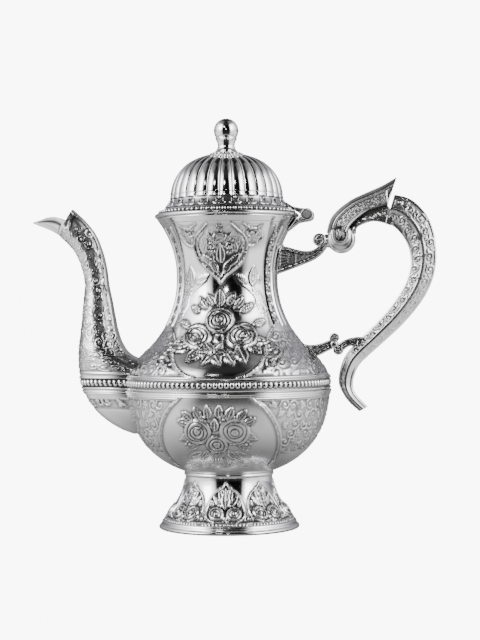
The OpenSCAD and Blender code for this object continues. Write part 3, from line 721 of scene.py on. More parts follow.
    def on_shoulder(u, w):
        reach = np.interp(w, low_edge[:, 1], low_edge[:, 0], left=13, right=36)
        return smooth((np.abs(u) - reach - 1.2) / 1.2) * smooth((w - 7.4) / 1.2) * smooth((44 - w) / 3)

    made.filigree(on_shoulder, 8.4, 23, 0.4, shade=0.16)
    made.h += 0.45 * near_line(v - 6.3, 0.5) * (np.abs(made.u) > 13)
    made.h *= smooth((v - 3) / 2) * smooth((113.4 - v) / 1.2)
    return made


def strip_band(field, inside):
    """An upright strip of alternating scrolls and small flowers about u = 0."""
    own = Relief(field.u, field.v)
    v, k = 48.0, 0
    while v < 112:
        sign = 1 if k % 2 else -1
        own.scroll(sign * 0.6, v, 2.3, 1.2, sign, 90, 0.85, 0.7, 2.2)
        own.flower(-sign * 1.2, v + 3.3, 1.7, 5, 0.7, 20 * k)
        v += 6.4
        k += 1
    mask = inside(field.u, field.v)
    field.h = mask * (own.h - 0.2)
    field.dark = 0.15 * mask


upper_inner = join(
    bezier([[40.6, BODY_TOP], [30.4, 177.5], [30.8, 163.4], [30.8, WAIST]], 6),
    bezier([[30.8, WAIST], [30.8, 134], [44.8, 118.2], [50.2, 113.4]], 5),
    bezier([[50.2, 113.4], [62.4, 101.6], [61.6, 98.6], [63.4, 96.6]], 5),
    [[63.4, SEAM]],
)
add_turned("upper_body", "pot", "plated_sheet", silver,
           upper_outer, upper_inner, 520, upper_relief, rows=168, crowd=0.36)

mouth_outer = join(
    [[41, BODY_TOP]],
    bezier([[42.3, BODY_TOP], [42.6, 193.7], [43.4, 194.8], [44.3, 196.2]], 10),
    bezier([[44.3, 196.2], [44.9, 196.7], [44.8, 197.1], [44.3, LIP_TOP]], 6),
    [[42, LIP_TOP]],
)
add_turned("mouth_ring", "pot", "plated_sheet", silver,
           mouth_outer, [[40.2, LIP_TOP], [40.2, BODY_TOP]], 300, spacing=0.35)

# ---------------------------------------------------------------- belt


def belt_profile(radius):
    """The belt's outer side from low to high: two rolls, a channel for the beads, and a roll above."""
    channel = [[0.25, 88.5], [0.9, 89.2], [1.1, 89.7], [0.55, 90.1], [0.45, BELT_BEADS], [0.55, 95.2],
               [1.1, 95.5], [1.15, 96.0], [0.4, 96.2]]
    return join(
        [[0.02, BELT_LOW]],
        bezier([[0.3, BELT_LOW], [1.1, 85.5], [1.1, 86.3], [0.5, 86.5]], 6),
        bezier([[0.5, 86.6], [1.5, 86.7], [1.5, 87.9], [0.7, 88.1]], 6),
        channel,
        bezier([[0.4, 96.3], [1.0, 96.4], [0.9, 97.0], [0.02, BELT_TOP]], 5),
    ) + [radius, 0]


def belt_bead(across, z, half):
    """How far a bead stands out, and how dark the gap round it is."""
    q = (across / half) ** 2 + ((z - BELT_BEADS) / 1.85) ** 2
    return 0.75 * round_top(q) - 0.25, 0.6 * (q > 0.85)


def belt_relief(phi, v, r, z):
    made = Relief(np.radians(fold(phi, 0, 360 / 120)) * r, z)
    w = np.nonzero((z > 89.9) & (z < 95.6))
    made.h[w], made.dark[w] = belt_bead(made.u[w], z[w], 1.45)
    made.darken(0.5 * near_line(z - 88.5, 0.5))
    made.darken(0.35 * near_line(z - 96.2, 0.25))
    return made


add_turned("belt_ring", "pot", "plated_sheet", silver,
           belt_profile(BELT_RADIUS), [], 1200, belt_relief, rows=56)

# ---------------------------------------------------------------- spout

spout_stations = [
    [-62, 59.6, -58, 59.6, 2.5], [-69.5, 62.5, -46, 62.5, 8], [-78, 67.6, -40, 67.6, 13],
    [-85.5, 74, -34, 74, 16.4], [-90.6, 81, -28, 81, 18.4], [-93, 85.4, -26, 85.4, 19],
    [-95.2, 91.5, -24, 91.5, 19], [-96.3, 97, -26, 97, 18.8], [-97.1, 104.5, -38, 102, 18],
    [-97, 114, -60.5, 109.6, 15.4], [-96.1, 122, -67.6, 117, 13], [-95.1, 131, -71, 126, 11.4],
    [-94.2, 139.6, -73, 135.4, 10.2], [-93.4, 147.4, -74.8, 145, 9.2], [-92.6, 156, -77, 155.4, 8.2],
    [-94.1, 164.4, -78.4, 167, 7.4], [-97.3, 173.6, -81.2, 178.4, 7], [-102.2, 180.8, -85.4, 188.4, 6.8],
    [-107.2, 185.8, -92.4, 197.4, 6.6], [-109.4, 187.8, -100.4, 204.8, 5.4],
]


def spout_relief(s, t, side, width, half):
    """Scrolls and stipple all round but for a plain strip along the edge that faces the pot."""
    round_way = half * 1.25 * np.arccos(np.clip(1 - 2 * t, -1, 1)) * side
    made = Relief(round_way, s)
    top = s.max()
    reach = half * 1.25 * PI

    def inside(u, w):
        at = np.interp(w, s[:, 0], reach[:, 0])
        return smooth((0.84 * at - np.abs(u)) / 1.5) * smooth((w - 8) / 2) * smooth((top - 1.5 - w) / 1.5)

    made.filigree(inside, 6.6, 31, 0.52, 0.05, 0.26)
    made.h += 0.6 * near_line((t - 0.93) * width, 0.8) * smooth((s - 26) / 6)
    band = smooth((t - 0.38) / 0.06) * (0.5 + 0.5 * smooth((0.86 - t) / 0.3)) * smooth((s - 8) / 5)
    made.add_patina_and_shade(band * np.where(made.h < 0.12, 0.45, 0.08))
    made.add_patina_and_shade(0.5 * smooth((s - top + 7) / 5) * (made.h < 0.2))
    bead_row = near_line(s - 8.5, 0.6)
    made.h = np.maximum(made.h, 0.5 * bead_row)
    made.h *= smooth((s - 5.2) / 1)
    return made


add_piece("spout", [swept(spout_stations[6:], 176, ellipse, spout_relief, spacing=0.55)],
          "pot", spout_silver)


def belly_relief(s, t, side, width, half):
    round_way = half * 1.4 * np.arccos(np.clip(1 - 2 * t, -1, 1)) * side
    made = Relief(round_way, s)

    def inside(u, w):
        at = np.interp(w, s[:, 0], half[:, 0]) * 1.4 * PI
        return smooth((0.52 * at - np.abs(u)) / 2) * smooth((w - 16) / 3) * smooth((s.max() - 8 - w) / 1.5)

    made.filigree(inside, 7.4, 41, 0.5)
    fold_line = smooth((t - 0.5) / 0.04) * smooth((0.84 - t) / 0.04)
    fold_line *= smooth((s - 6) / 8) * smooth((s.max() - 7 - s) / 4)
    waves = np.cos((t - 0.5) * width / 3.6 * 2 * PI + 0.05 * (s.max() - s))
    made.h += 0.8 * fold_line * waves
    made.darken(0.4 * fold_line * (waves < -0.5))
    return made


add_piece("spout_belly", [swept(spout_stations[:7], 200, ellipse, belly_relief, spacing=0.5)],
          "pot", satin)


def spout_belt():
    """The belt's own section carried round the spout's outline, ending inside the body."""
    columns = 560
    path = spline(spout_stations[5:8], 8)
    section = belt_profile(0.0)
    loop = resample(join(section, [[-1.2, BELT_TOP], [-1.2, BELT_LOW]], section[:1]), 64)[:-1]
    a = 2 * PI * (np.arange(columns) + 0.5) / columns
    grid = np.zeros((len(loop), columns, 3))
    bead = np.zeros((len(loop), columns))
    shade = np.zeros((len(loop), columns))
    for i, (out, z) in enumerate(loop):
        back, front, half = (np.interp(z, path[:, 1], path[:, k]) for k in (0, 2, 4))
        middle, long_half = (back + front) / 2, (front - back) / 2
        x = middle - (long_half + out) * np.cos(a)
        y = (half + out) * np.sin(a)
        grid[i] = np.stack([x, y, np.full(columns, z)], -1)
        phase = (lengths(np.stack([x, y], -1)) + 0.6) % 3.4 - 1.7
        if out > -0.5:
            if 89.9 < z < 95.6:
                bead[i], shade[i] = belt_bead(phase, z, 1.42)
            shade[i] = np.maximum(shade[i], 0.5 * near_line(z - 88.5, 0.5))
    return sheet_part(grid, bead, shade, True)


add_piece("spout_belt_ring", [spout_belt()], "pot", silver)

beak_stations = [
    [-108.6, 187.2, -103.8, 196.4, 5.6], [-113.4, 190.3, -109.6, 199.6, 4.8],
    [-118.4, 192.6, -115.8, 199.7, 3.9], [-123, 194.4, -121.6, 198, 2.7], [-126.8, 196, -126.4, 196.9, 1.2],
]


def beak():
    """An open trough: half a ring outside, half a ring inside, joined along the two rims."""
    path = resample(spline(beak_stations, 14), 44)
    arc = np.linspace(-1, 1, 33)
    grid, height, dark = [], [], []
    for row, (bx, bz, rx, rz, half) in enumerate(path):
        rim, down = np.array([rx, rz]), np.array([bx - rx, bz - rz])
        depth = np.linalg.norm(down)
        toward = down / depth
        ring = []
        for sign, shrink in ((1, 0.0), (-1, min(1.0, half * 0.4))):
            for a in arc if sign == 1 else arc[::-1]:
                deep = max(depth - shrink, 0.25) * (1 - abs(a) ** 1.7)
                wide = max(half - shrink, 0.3) * a
                ring.append([rim[0] + toward[0] * deep, wide, rim[1] + toward[1] * deep])
        grid.append(ring)
        # an engraved line that runs round the outer side a little inside its edges
        inset = np.minimum(0.95 - np.abs(arc), 0.6) * 5 - 0.9
        inset = np.minimum(inset, (row - 5) * 0.5)
        line = near_line(inset, 0.42) * (row < 36)
        height.append(np.concatenate([-0.3 * line, 0 * line]))
        dark.append(np.concatenate([0.6 * line, 0 * line]))
    return sheet_part(np.array(grid), np.array(height), np.array(dark), False)


add_piece("spout_beak", [beak()], "pot", silver)

# ---------------------------------------------------------------- handle


def both_faces(t, y):
    """A section's ring from one of its faces: out along it, and back along its mirror image."""
    return np.concatenate([t, t[::-1]]), np.concatenate([y, -y[::-1]])


def slab(columns, flat=0.08):
    """A flat-sided section with rounded edges."""
    t = np.linspace(0, 1, columns // 2)
    y = np.minimum(1, round_top(((np.abs(2 * t - 1) - (1 - 2 * flat)) / (2 * flat)) ** 2))
    y = np.where(np.abs(2 * t - 1) < 1 - 2 * flat, 1, np.maximum(y, 0.35))
    return both_faces(t, y)


def keel(columns):
    """Six-sided section: narrow at both edges and wide at the ridge between them."""
    t = np.linspace(0, 1, columns // 2)
    y = 0.375 + 0.625 * (1 - np.abs(2 * t - 1))
    return both_faces(t, y)


def wedge(narrow):
    """Four-sided section that widens from its first edge to its second."""

    def section(columns):
        t = np.linspace(0, 1, columns // 2)
        return both_faces(t, narrow + (1 - narrow) * t)

    return section


def arm_relief(s, t, side, width, half):
    """A raised border round a hatched panel."""
    made = Relief(s, (t - 0.5) * width)
    from_edge = width * (0.5 - np.abs(t - 0.5))
    end = np.minimum(s, s.max() - s)
    panel = smooth((from_edge - 2.0) / 0.5) * smooth((end - 2) / 1)
    hatch = np.cos((made.u + made.v) * 2 * PI / 1.5) * np.cos((made.u - made.v) * 2 * PI / 1.5)
    made.h = 0.45 * smooth((from_edge - 0.3) / 0.5) - 0.95 * panel + 0.2 * panel * hatch
    made.dark = 0.35 * panel + 0.3 * panel * (hatch < -0.2)
    return made


def spiral_relief(radius, turns, sign, start):
    """A cut line that winds in to the middle of a disc."""
    depth = 0.5

    def relief(x, z):
        made = Relief(x, z)
        rho, ang = np.hypot(x, z), np.arctan2(z, x)
        winding = (ang * sign - math.radians(start)) / (2 * PI) + rho / radius * turns
        phase = winding - np.floor(winding)
        made.h = -depth * near_line(np.minimum(phase, 1 - phase), 0.16) * smooth(rho / radius * 4)
        made.dark = -made.h / depth * 0.4
        return made

    return relief


arm_stations = [
    [30, 180.2, 28.5, 160.2, 4.4], [38, 178.8, 37, 162.8, 4.4], [44, 177.0, 43.5, 165.2, 4.4],
    [50, 175.8, 50, 167.6, 4.4], [55.2, 176.6, 56, 170.2, 4.4], [60, 179.8, 60.4, 173.4, 4.4],
    [63.0, 181.6, 63.6, 177.4, 4.3], [65.0, 182.8, 65.2, 180.2, 4.2],
]
bridge_stations = [[62.6, 186.2, 63.2, 178.0, 4.3], [65.8, 186.4, 66.3, 177.4, 4.7]]


def arm_pad(line, half, thick):
    """A raised plate on the body under an arm's root."""
    rows, columns = 30, 40
    a = 2 * PI * (np.arange(columns) + 0.5) / columns
    grid = []
    for (r, z), place in zip(resample(line, rows), np.linspace(-1, 1, rows)):
        share = math.sqrt(max(1 - place**2, 0.02))
        grid.append([[r - 1.5 + thick * (1 + math.cos(k)), half * share * math.sin(k), z] for k in a])
    return sheet_part(np.array(grid), None, None, False)


add_piece("upper_arm_pad", [arm_pad([[33.2, 161.0], [33.6, 170], [36.6, 180.2]], 9.2, 0.75)],
          "pot", silver)
add_piece(
    "upper_arm",
    [
        swept(arm_stations, 64, slab, arm_relief, spacing=0.4),
        disc((59.4, 182.6), 4.2, 5.0, 72, spiral_relief(4.2, 1.6, 1, 200), 1.2),
        swept(bridge_stations, 48, ellipse, None, spacing=0.4, straight=True),
    ],
    "pot", cast_silver)


def volute_relief(x, z):
    """The leaf's panel comes down from above and ends in a round hook, inside a smooth bright ring."""
    made = Relief(x, z)
    hook = np.hypot(x + 0.2, z - 2.4) - 4.2
    strip = np.maximum(np.abs(x + 1.2) - 3.2, 2.4 - z)
    gap = np.minimum(hook, strip)
    inside = smooth(-gap / 0.6)
    rng = np.random.default_rng(3)
    made.h = -0.8 * inside + 0.12 * rng.normal(0, 1, x.shape) * inside
    made.h += 0.35 * near_line(gap - 0.9, 0.6)
    made.dark = 0.35 * inside + 0.75 * near_line(gap, 0.45)
    return made


add_piece("handle_volute", [disc((73, 183), 9, 5.0, 128, volute_relief, 2.4, 1.6)],
          "pot", cast_silver)

crest = [[77.2, 187.5], [79.2, 191.3], [84, 196], [90.5, 200.4], [96.5, 202.2], [102, 203.8]]
under_leaf = [[82.2, 186.4], [82.8, 190.2], [86.8, 192.6], [92.4, 194.2], [97.2, 193.8], [101, 192.7]]
leaf_back = [[63.6, 187], [66.2, 195.8], [71.5, 202], [79.4, 207.7], [88.5, 211.9], [100, 217]]


def leaf_relief(s, t, side, width, half):
    """Dark outer border, a stippled panel sunk behind it, and a bright crest along the inner edge."""
    made = Relief(s, t * width)
    rng = np.random.default_rng(8)
    end = s.max() - s
    panel = smooth((t - 0.3) / 0.05) * smooth((0.9 - t) / 0.05) * smooth((end - 4.2) / 1)
    made.h = -0.8 * panel + 0.14 * rng.normal(0, 1, s.shape) * panel
    made.h += 0.35 * near_line((t - 0.26) * width, 0.5)
    made.dark = 0.3 * panel + 0.85 * smooth((0.24 - t) / 0.03) * smooth((t - 0.02) / 0.02)
    edge = near_line((t - 0.29) * width, 0.4) + near_line((t - 0.93) * width, 0.4)
    edge = 0.5 * edge * smooth((end - 3) / 1) + 0.9 * smooth((t - 0.94) / 0.03)
    made.add_patina_and_shade(edge)
    return made


def leaf_stations():
    rows = [[*a, *b] for a, b in zip(leaf_back, crest)] + [[108.3, 221.6, 102.6, 205.2]]
    path = spline(rows, 10)
    share = np.linspace(0, 1, len(path))
    return np.column_stack([path, CREST_HALF * (1 - 0.45 * share**3)])


add_piece("thumb_leaf", [swept(leaf_stations(), 120, wedge(0.28), leaf_relief, spacing=0.4, straight=True)],
          "pot", cast_silver)

grip_stations = [
    [106.9, 210.5, 101.6, 192.4], [117.2, 207.2, 106.3, 190.4], [126.4, 198, 111.6, 184.6],
    [131.2, 187, 115, 178], [132.8, 175.5, 116.4, 171], [131.9, 163, 115.8, 164],
    [128, 151, 112.8, 154.6], [120.8, 139.6, 106.4, 144],
    [111, 128.3, 99, 134.8], [99.6, 117.8, 89.4, 124.6], [89, 108.4, 80, 115.4], [83.6, 102.8, 74.6, 108.4],
    [80.6, 96.6, 71.6, 100.4], [79.6, 90.6, 70.7, 92.4], [80.7, 85.8, 72.6, 86.6], [83.6, 82, 76.8, 80.2],
    [88.8, 76.8, 83.6, 73.8],
]


def grip_relief(s, t, side, width, half):
    """Two bands of running scrolls, one on each face of the keel, with a dark groove along the ridge."""
    made = Relief(s, (t - 0.5) * width)
    top = s.max()
    band = 0.25 * width
    run = smooth((s - 0.8) / 0.8) * smooth((top * 0.77 - s) / 8)
    for sign, seed in ((-1, 0), (1, 3)):
        own = Relief(s, (t - 0.5) * width - sign * band)
        pitch = 7.4
        for k in range(int(top * 0.8 / pitch)):
            at = 3.6 + k * pitch
            turn = 1 if (k + seed) % 2 else -1
            own.scroll(at, turn * 0.5, 2.6, 1.25, turn, 90 * turn, 0.95, 0.5, 2.6)
            own.leaf(at + 2.6, -turn * 1.6, 3.6, 1.7, 20 * turn, 0.48, 0)
            own.flower(at + pitch * 0.55, turn * 1.4, 1.5, 5, 0.5)
        edge = smooth((band - np.abs(own.v) - 0.9) / 0.6)
        if sign < 0:
            edge *= 1 - 0.6 * smooth((s / top - 0.25) / 0.15)
        made.h += run * edge * (own.h - 0.18)
        made.darken(0.15 * run * edge * (own.h < 0.1))
    groove = near_line(made.v, 0.5)
    made.h = made.h * (1 - groove) - 0.55 * groove
    made.add_patina_and_shade(near_line(made.v, 0.6))
    # painted shade: the inner facet is darkened along the grip's upper part
    inner = smooth(made.v / width * 20) * smooth((s / top - 0.66) / 0.06) * smooth((0.93 - s / top) / 0.08)
    made.add_patina_and_shade(0.4 * inner)
    tail = smooth((s - top * 0.77) / 8)
    for at in (-0.36, 0.36):
        line = near_line(made.v - at * width, 0.4)
        made.h -= 0.35 * line * tail
        made.darken(0.6 * line * tail)
    return made


def under_relief(s, t, side, width, half):
    """The same running scrolls as on the grip, smaller."""
    made = Relief(s, (t - 0.5) * width)
    for k in range(int(s.max() / 5.4)):
        turn = 1 if k % 2 else -1
        made.scroll(3 + 5.4 * k, 0.7 * turn, 1.9, 1.2, turn, 90 * turn, 0.8, 0.45, 2)
        made.leaf(5.2 + 5.4 * k, -1.2 * turn, 3, 1.5, 20 * turn, 0.45, 0)
    edge = smooth((width * (0.5 - np.abs(t - 0.5)) - 0.8) / 0.6)
    made.h = 0.8 * edge * (made.h - 0.16)
    made.dark = 0.1 * edge * (made.h < 0) + 0.7 * smooth((0.07 - t) / 0.03)
    return made


under = [[*a, *b] for a, b in zip(crest, under_leaf)]
under += [[104.25, 201.45, 101.6, 192.4], [107.6, 200.4, 104.2, 191.5]]
grip_parts = ((grip_stations, 112, keel, grip_relief), (under, 96, wedge(0.375), under_relief))
add_piece(
    "handle_grip",
    [swept([[*row, CREST_HALF] for row in rows], *rest, spacing=0.42) for rows, *rest in grip_parts],
    "pot", cast_silver)

# lower arms: two scrolls back to back
add_piece("lower_arm_pad", [arm_pad([[56.5, 107.5], [53.2, 111.6], [50.2, 116.4]], 6.4, 0.7)],
          "pot", silver)
inner_stations = [[46, 117.8, 48, 106.5], [51, 116.2, 54, 107.8], [56, 116.3, 59.2, 109.6],
                  [61, 117.6, 63, 111.6], [65.6, 119.4, 66.8, 113.4]]
outer_stations = [[70.4, 116.4, 72.6, 111.2], [73.6, 118.6, 75.2, 113.6], [77.6, 120.2, 78.4, 115.2],
                  [82, 120.9, 81.4, 114.2], [86.4, 120.9, 83.6, 113.6]]


def lower_arm(stations):
    return swept([[*row, ARM_HALF] for row in stations], 56, slab, arm_relief, spacing=0.4)


inner_scroll = disc((68.1, 120.5), 3.0, 4.2, 60, spiral_relief(3.0, 1.4, -1, 20), 1.0)
outer_scroll = disc((70.6, 112.8), 3.2, 4.2, 60, spiral_relief(3.2, 1.4, 1, 200), 1.0)
link = disc((67.9, 116.4), 2.7, 3.9, 48, None, 1.8)
add_piece("lower_arm_inner", [lower_arm(inner_stations), inner_scroll, link],
          "pot", cast_silver)
add_piece("lower_arm_outer", [lower_arm(outer_stations), outer_scroll],
          "pot", cast_silver)

# ---------------------------------------------------------------- lid

dome_line = bezier([[34.9, DOME_LOW], [33.3, 226.3], [25, 234.6], [8, DOME_TOP]], 60)


def flute_share(phi):
    """0 on the middle of a flute and 1 in the crease beside it."""
    period = 360 / LOBES
    return np.abs(fold(phi, period / 2, period)) / (period / 2)


def dome_relief(phi, v, r, z):
    made = Relief(phi, v)
    share = flute_share(phi)
    length = smooth((41 - v) / 6)
    size = np.minimum(r / 34, 1) ** 0.6
    made.h = length * size * (1.55 * round_top(share**2) - 0.35)
    made.dark = length * smooth((share - 0.9) / 0.08) * 0.5
    return made


dome_under = bezier([[8, 236.8], [24, 233.4], [31.9, 225.8], [33.5, DOME_LOW]], 12)
dome_inner = join([[3, DOME_TOP], [3, 236.8]], dome_under)
add_turned("lid_dome", "lid", "plated_sheet", silver,
           join(dome_line, [[4, DOME_TOP]]), dome_inner, 784, dome_relief, rows=96)

band_line = bezier([[41, RIM_TOP], [38.2, 204.2], [35.8, 208], [35.4, DOME_LOW]], 24)
band_inner = [[34.0, DOME_LOW], [34.6, 208], [37, 203.8], [38.6, RIM_TOP]]


def band_relief(phi, v, r, z):
    made = Relief(np.radians(fold(phi, 0, 15)) * r, v)
    for side in (-1, 1):
        made.leaf(side * 0.3, 2.4, 5.2, 2.3, 90 - side * 24, 0.9, 0)
        made.leaf(side * 0.8, 2.4, 3.4, 1.6, 90 - side * 62, 0.7, 0)
    made.boss(0, 7.6, 0.75, 0.75, 0.8)
    ground = (made.h < 0.1) * smooth((v - 1.0) / 0.6) * smooth((8.4 - v) / 1.5)
    made.darken(0.5 * ground)
    made.h += 0.25 * near_line(v - 0.8, 0.4)
    # the dome's flutes run on over the band's upper edge
    upper = smooth((v - v.max() + 2.6) / 0.5)
    flute = 1.4 * round_top(flute_share(phi) ** 2) - 0.75
    made.h = made.h * (1 - upper) + flute * upper
    made.darken(0.7 * near_line(v - v.max() + 2.8, 0.35))
    return made


add_turned("lid_band", "lid", "plated_sheet", silver,
           band_line, band_inner, 720, band_relief, spacing=0.4)

rim_beads = (43.0, 201.2)  # radius and height of the beads' middle
rim_outer = join(
    [[40, RIM_LOW]],
    bezier([[44.4, RIM_LOW], [46.3, 197.5], [46.9, 198.9], [45.2, 200.0]], 10),
    [[44.3, 200.1], [44.0, 200.3], [43.4, 201.0], [42.6, 201.6], [42.0, 202.0],
     [41.4, RIM_TOP], [40, RIM_TOP]],
)


def rim_relief(phi, v, r, z):
    made = Relief(np.radians(fold(phi, 0, 360 / 80)) * 43.2, v)
    q = (made.u / 1.35) ** 2 + (np.hypot(r - rim_beads[0], z - rim_beads[1]) / 1.1) ** 2
    zone = (z > 199.9) & (r > 41.2)
    made.h = np.where(zone, 0.95 * round_top(q) - 0.15, 0)
    made.dark = np.where(zone & (q > 0.8), 0.85, 0)
    return made


add_turned("lid_rim", "lid", "plated_sheet", silver,
           rim_outer, [[36.2, RIM_TOP], [36.2, RIM_LOW]], 832, rim_relief, spacing=0.3)

collar_line = join(
    bezier([[10.8, 237.1], [10.9, 238.6], [9.6, 238.5], [8.9, 239.0]], 8),
    bezier([[8.9, 239.0], [7.0, 240.0], [5.7, 241.4], [5.4, 243.6]], 14),
)


def collar_relief(phi, v, r, z):
    made = Relief(np.radians(fold(phi, 0, 18)) * r, v)
    made.boss(0, 2.0, 1.35, 1.2, 0.55)
    made.dark = 0.6 * (made.h < 0.06) * smooth((3.8 - v) / 1)
    return made


add_turned("finial_collar", "lid", "plated_turned", silver,
           collar_line, [[2.6, 243.6], [2.6, 237.1]], 300, collar_relief, spacing=0.25)

ball_radius, ball_height = 7.9, 253.4
arc = np.radians(np.linspace(-30, 88, 44))
ball = [[ball_radius * math.cos(a), ball_height + ball_radius * math.sin(a)] for a in arc]
stem = bezier([[5.4, STEM_LOW], [5.4, 245.6], [6.3, 247.2], [7.1, 248.4]], 12)
finial_line = join([[2.2, STEM_LOW]], stem, [[6.5, 248.9]], ball, [[0.05, FINIAL_TOP]])
add_turned("finial", "lid", "plated_turned", silver,
           finial_line, [], 160, spacing=0.3, closed=False)

# ---------------------------------------------------------------- hinge


PIN = (51.8, 198.8)
INNER_KNUCKLE, OUTER_KNUCKLE = 3.85, 8  # where the middle knuckle and the outer two end, along Y


def plate(outline, half, columns=64, dark=0.0):
    """A plate in the XZ plane, from its outline, with faces that swell a little towards the middle."""
    line = resample(np.vstack([outline, outline[:1]]), columns + 1)[:-1]
    centre = line.mean(0)
    swell = ((0.3, 0), (0.5, 0.08), (0.7, 0.28), (0.86, 0.55), (0.95, 0.85), (1, 1.2))
    grid = []
    for shrink, y in [(a, half - b) for a, b in swell] + [(a, b - half) for a, b in reversed(swell)]:
        ring = centre + (line - centre) * shrink
        grid.append(np.stack([ring[:, 0], np.full(columns, y), ring[:, 1]], -1))
    return sheet_part(np.array(grid), None, np.full((len(grid), columns), dark), False)


def moved(part, along_y):
    points, faces, patina_and_shade = part
    return points + [0, along_y, 0], faces, patina_and_shade


def knuckle(low, high):
    return moved(disc(PIN, 3.8, (high - low) / 2, 64, None, 0.45), (low + high) / 2)


bracket = spline([[38.8, 188.4], [43.4, 192.4], [48, 194.2], [51.8, 194.7], [54.8, 195.8], [55.5, 198.2],
                  [52, 199.4], [48.1, 198.8], [46.4, 196.3], [44.9, 196.3], [43.4, 194.2]], 4)
leaf = spline([[38.8, 188.4], [43.4, 192.4], [47.6, 194.1], [47.4, 195.4],
               [46.4, 196.2], [44.9, 196.3], [43.4, 194.2]], 3)
strap = spline([[34.4, 209.4], [37, 206.6], [40.4, 204.6], [45.5, 203.5], [50.8, 202.6], [53.6, 201.6],
                [52.6, 199.2], [48.4, 199.6], [46.9, 199.6], [45.9, 200.6], [44.8, 201], [43.6, 202],
                [41.5, 202.8], [38.5, 204.6], [35.6, 208]], 4)
add_piece(
    "hinge_body_leaf",
    [moved(plate(bracket, 1.95), side * 6.07) for side in (-1, 1)]
    + [knuckle(4.15, OUTER_KNUCKLE), knuckle(-OUTER_KNUCKLE, -4.15), plate(leaf, 5.0)],
    "pot", cast_silver)
# the lid leaf's plate is darkened all over: painted shade, standing in for the shade on the real strap's
# concave top
add_piece("hinge_lid_leaf", [plate(strap, INNER_KNUCKLE, 96, 0.35), knuckle(-INNER_KNUCKLE, INNER_KNUCKLE)],
          "lid", cast_silver)

# ---------------------------------------------------------------- carried-over CAD nodes

for name, material in (
    ("spout_strainer", brass), ("hinge_pin", steel), ("lid_plug_ring", silver),
    ("finial_stud", brass), ("finial_washer", brass), ("finial_nut", brass),
):
    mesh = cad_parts[name].data
    mesh.materials.clear()
    mesh.materials.append(material)

# ---------------------------------------------------------------- floor, world, lights, camera

WHITE = 9.0  # brightness of the floor and backdrop as the camera sees them
MIRRORED = 6.0  # brightness of the room that the metal mirrors
CAMERA_TURN = math.radians(7)


def weigh(tree, kind, first, second=None, third=None):
    """A Math node's output, where each input is a socket, a number or left alone."""
    made = tree.nodes.new("ShaderNodeMath")
    made.operation = kind
    for socket, value in zip(made.inputs, (first, second, third)):
        if isinstance(value, bpy.types.NodeSocket):
            tree.links.new(value, socket)
        elif value is not None:
            socket.default_value = value
    return made.outputs[0]


def ramp(tree, value, stops):
    """A colour ramp over grey stops: (place, grey) or (place, grey, how much bluer)."""
    made = tree.nodes.new("ShaderNodeValToRGB")
    tree.links.new(value, made.inputs["Fac"])
    line = made.color_ramp
    while len(line.elements) < len(stops):
        line.elements.new(0.5)
    for element, (place, grey, *blue) in zip(line.elements, stops):
        element.position = place
        element.color = (grey, grey, min(grey * (blue or [1])[0], 1.0), 1)
    return made.outputs["Color"]


def multiply(tree, first, second):
    made = tree.nodes.new("ShaderNodeMix")
    made.data_type = "RGBA"
    made.blend_type = "MULTIPLY"
    made.inputs[0].default_value = 1.0
    tree.links.new(first, made.inputs[6])
    tree.links.new(second, made.inputs[7])
    return made.outputs[2]


def choose(tree, others, camera, output):
    """Shows the camera one shader, and everything else another."""
    seen = tree.nodes.new("ShaderNodeLightPath").outputs["Is Camera Ray"]
    pick = tree.nodes.new("ShaderNodeMixShader")
    for socket, link in zip(pick.inputs, (seen, others, camera)):
        tree.links.new(link, socket)
    tree.links.new(pick.outputs[0], tree.nodes[output].inputs["Surface"])


def camera_side(tree, place):
    """How far a place or direction lies to the camera's right, and how far towards the camera."""
    split = tree.nodes.new("ShaderNodeSeparateXYZ")
    tree.links.new(place, split.inputs[0])
    x, y, z = split.outputs
    right, near = math.cos(CAMERA_TURN), math.sin(CAMERA_TURN)
    aside = weigh(tree, "ADD", weigh(tree, "MULTIPLY", x, right), weigh(tree, "MULTIPLY", y, near))
    ahead = weigh(tree, "SUBTRACT", weigh(tree, "MULTIPLY", x, near), weigh(tree, "MULTIPLY", y, right))
    return aside, ahead, z


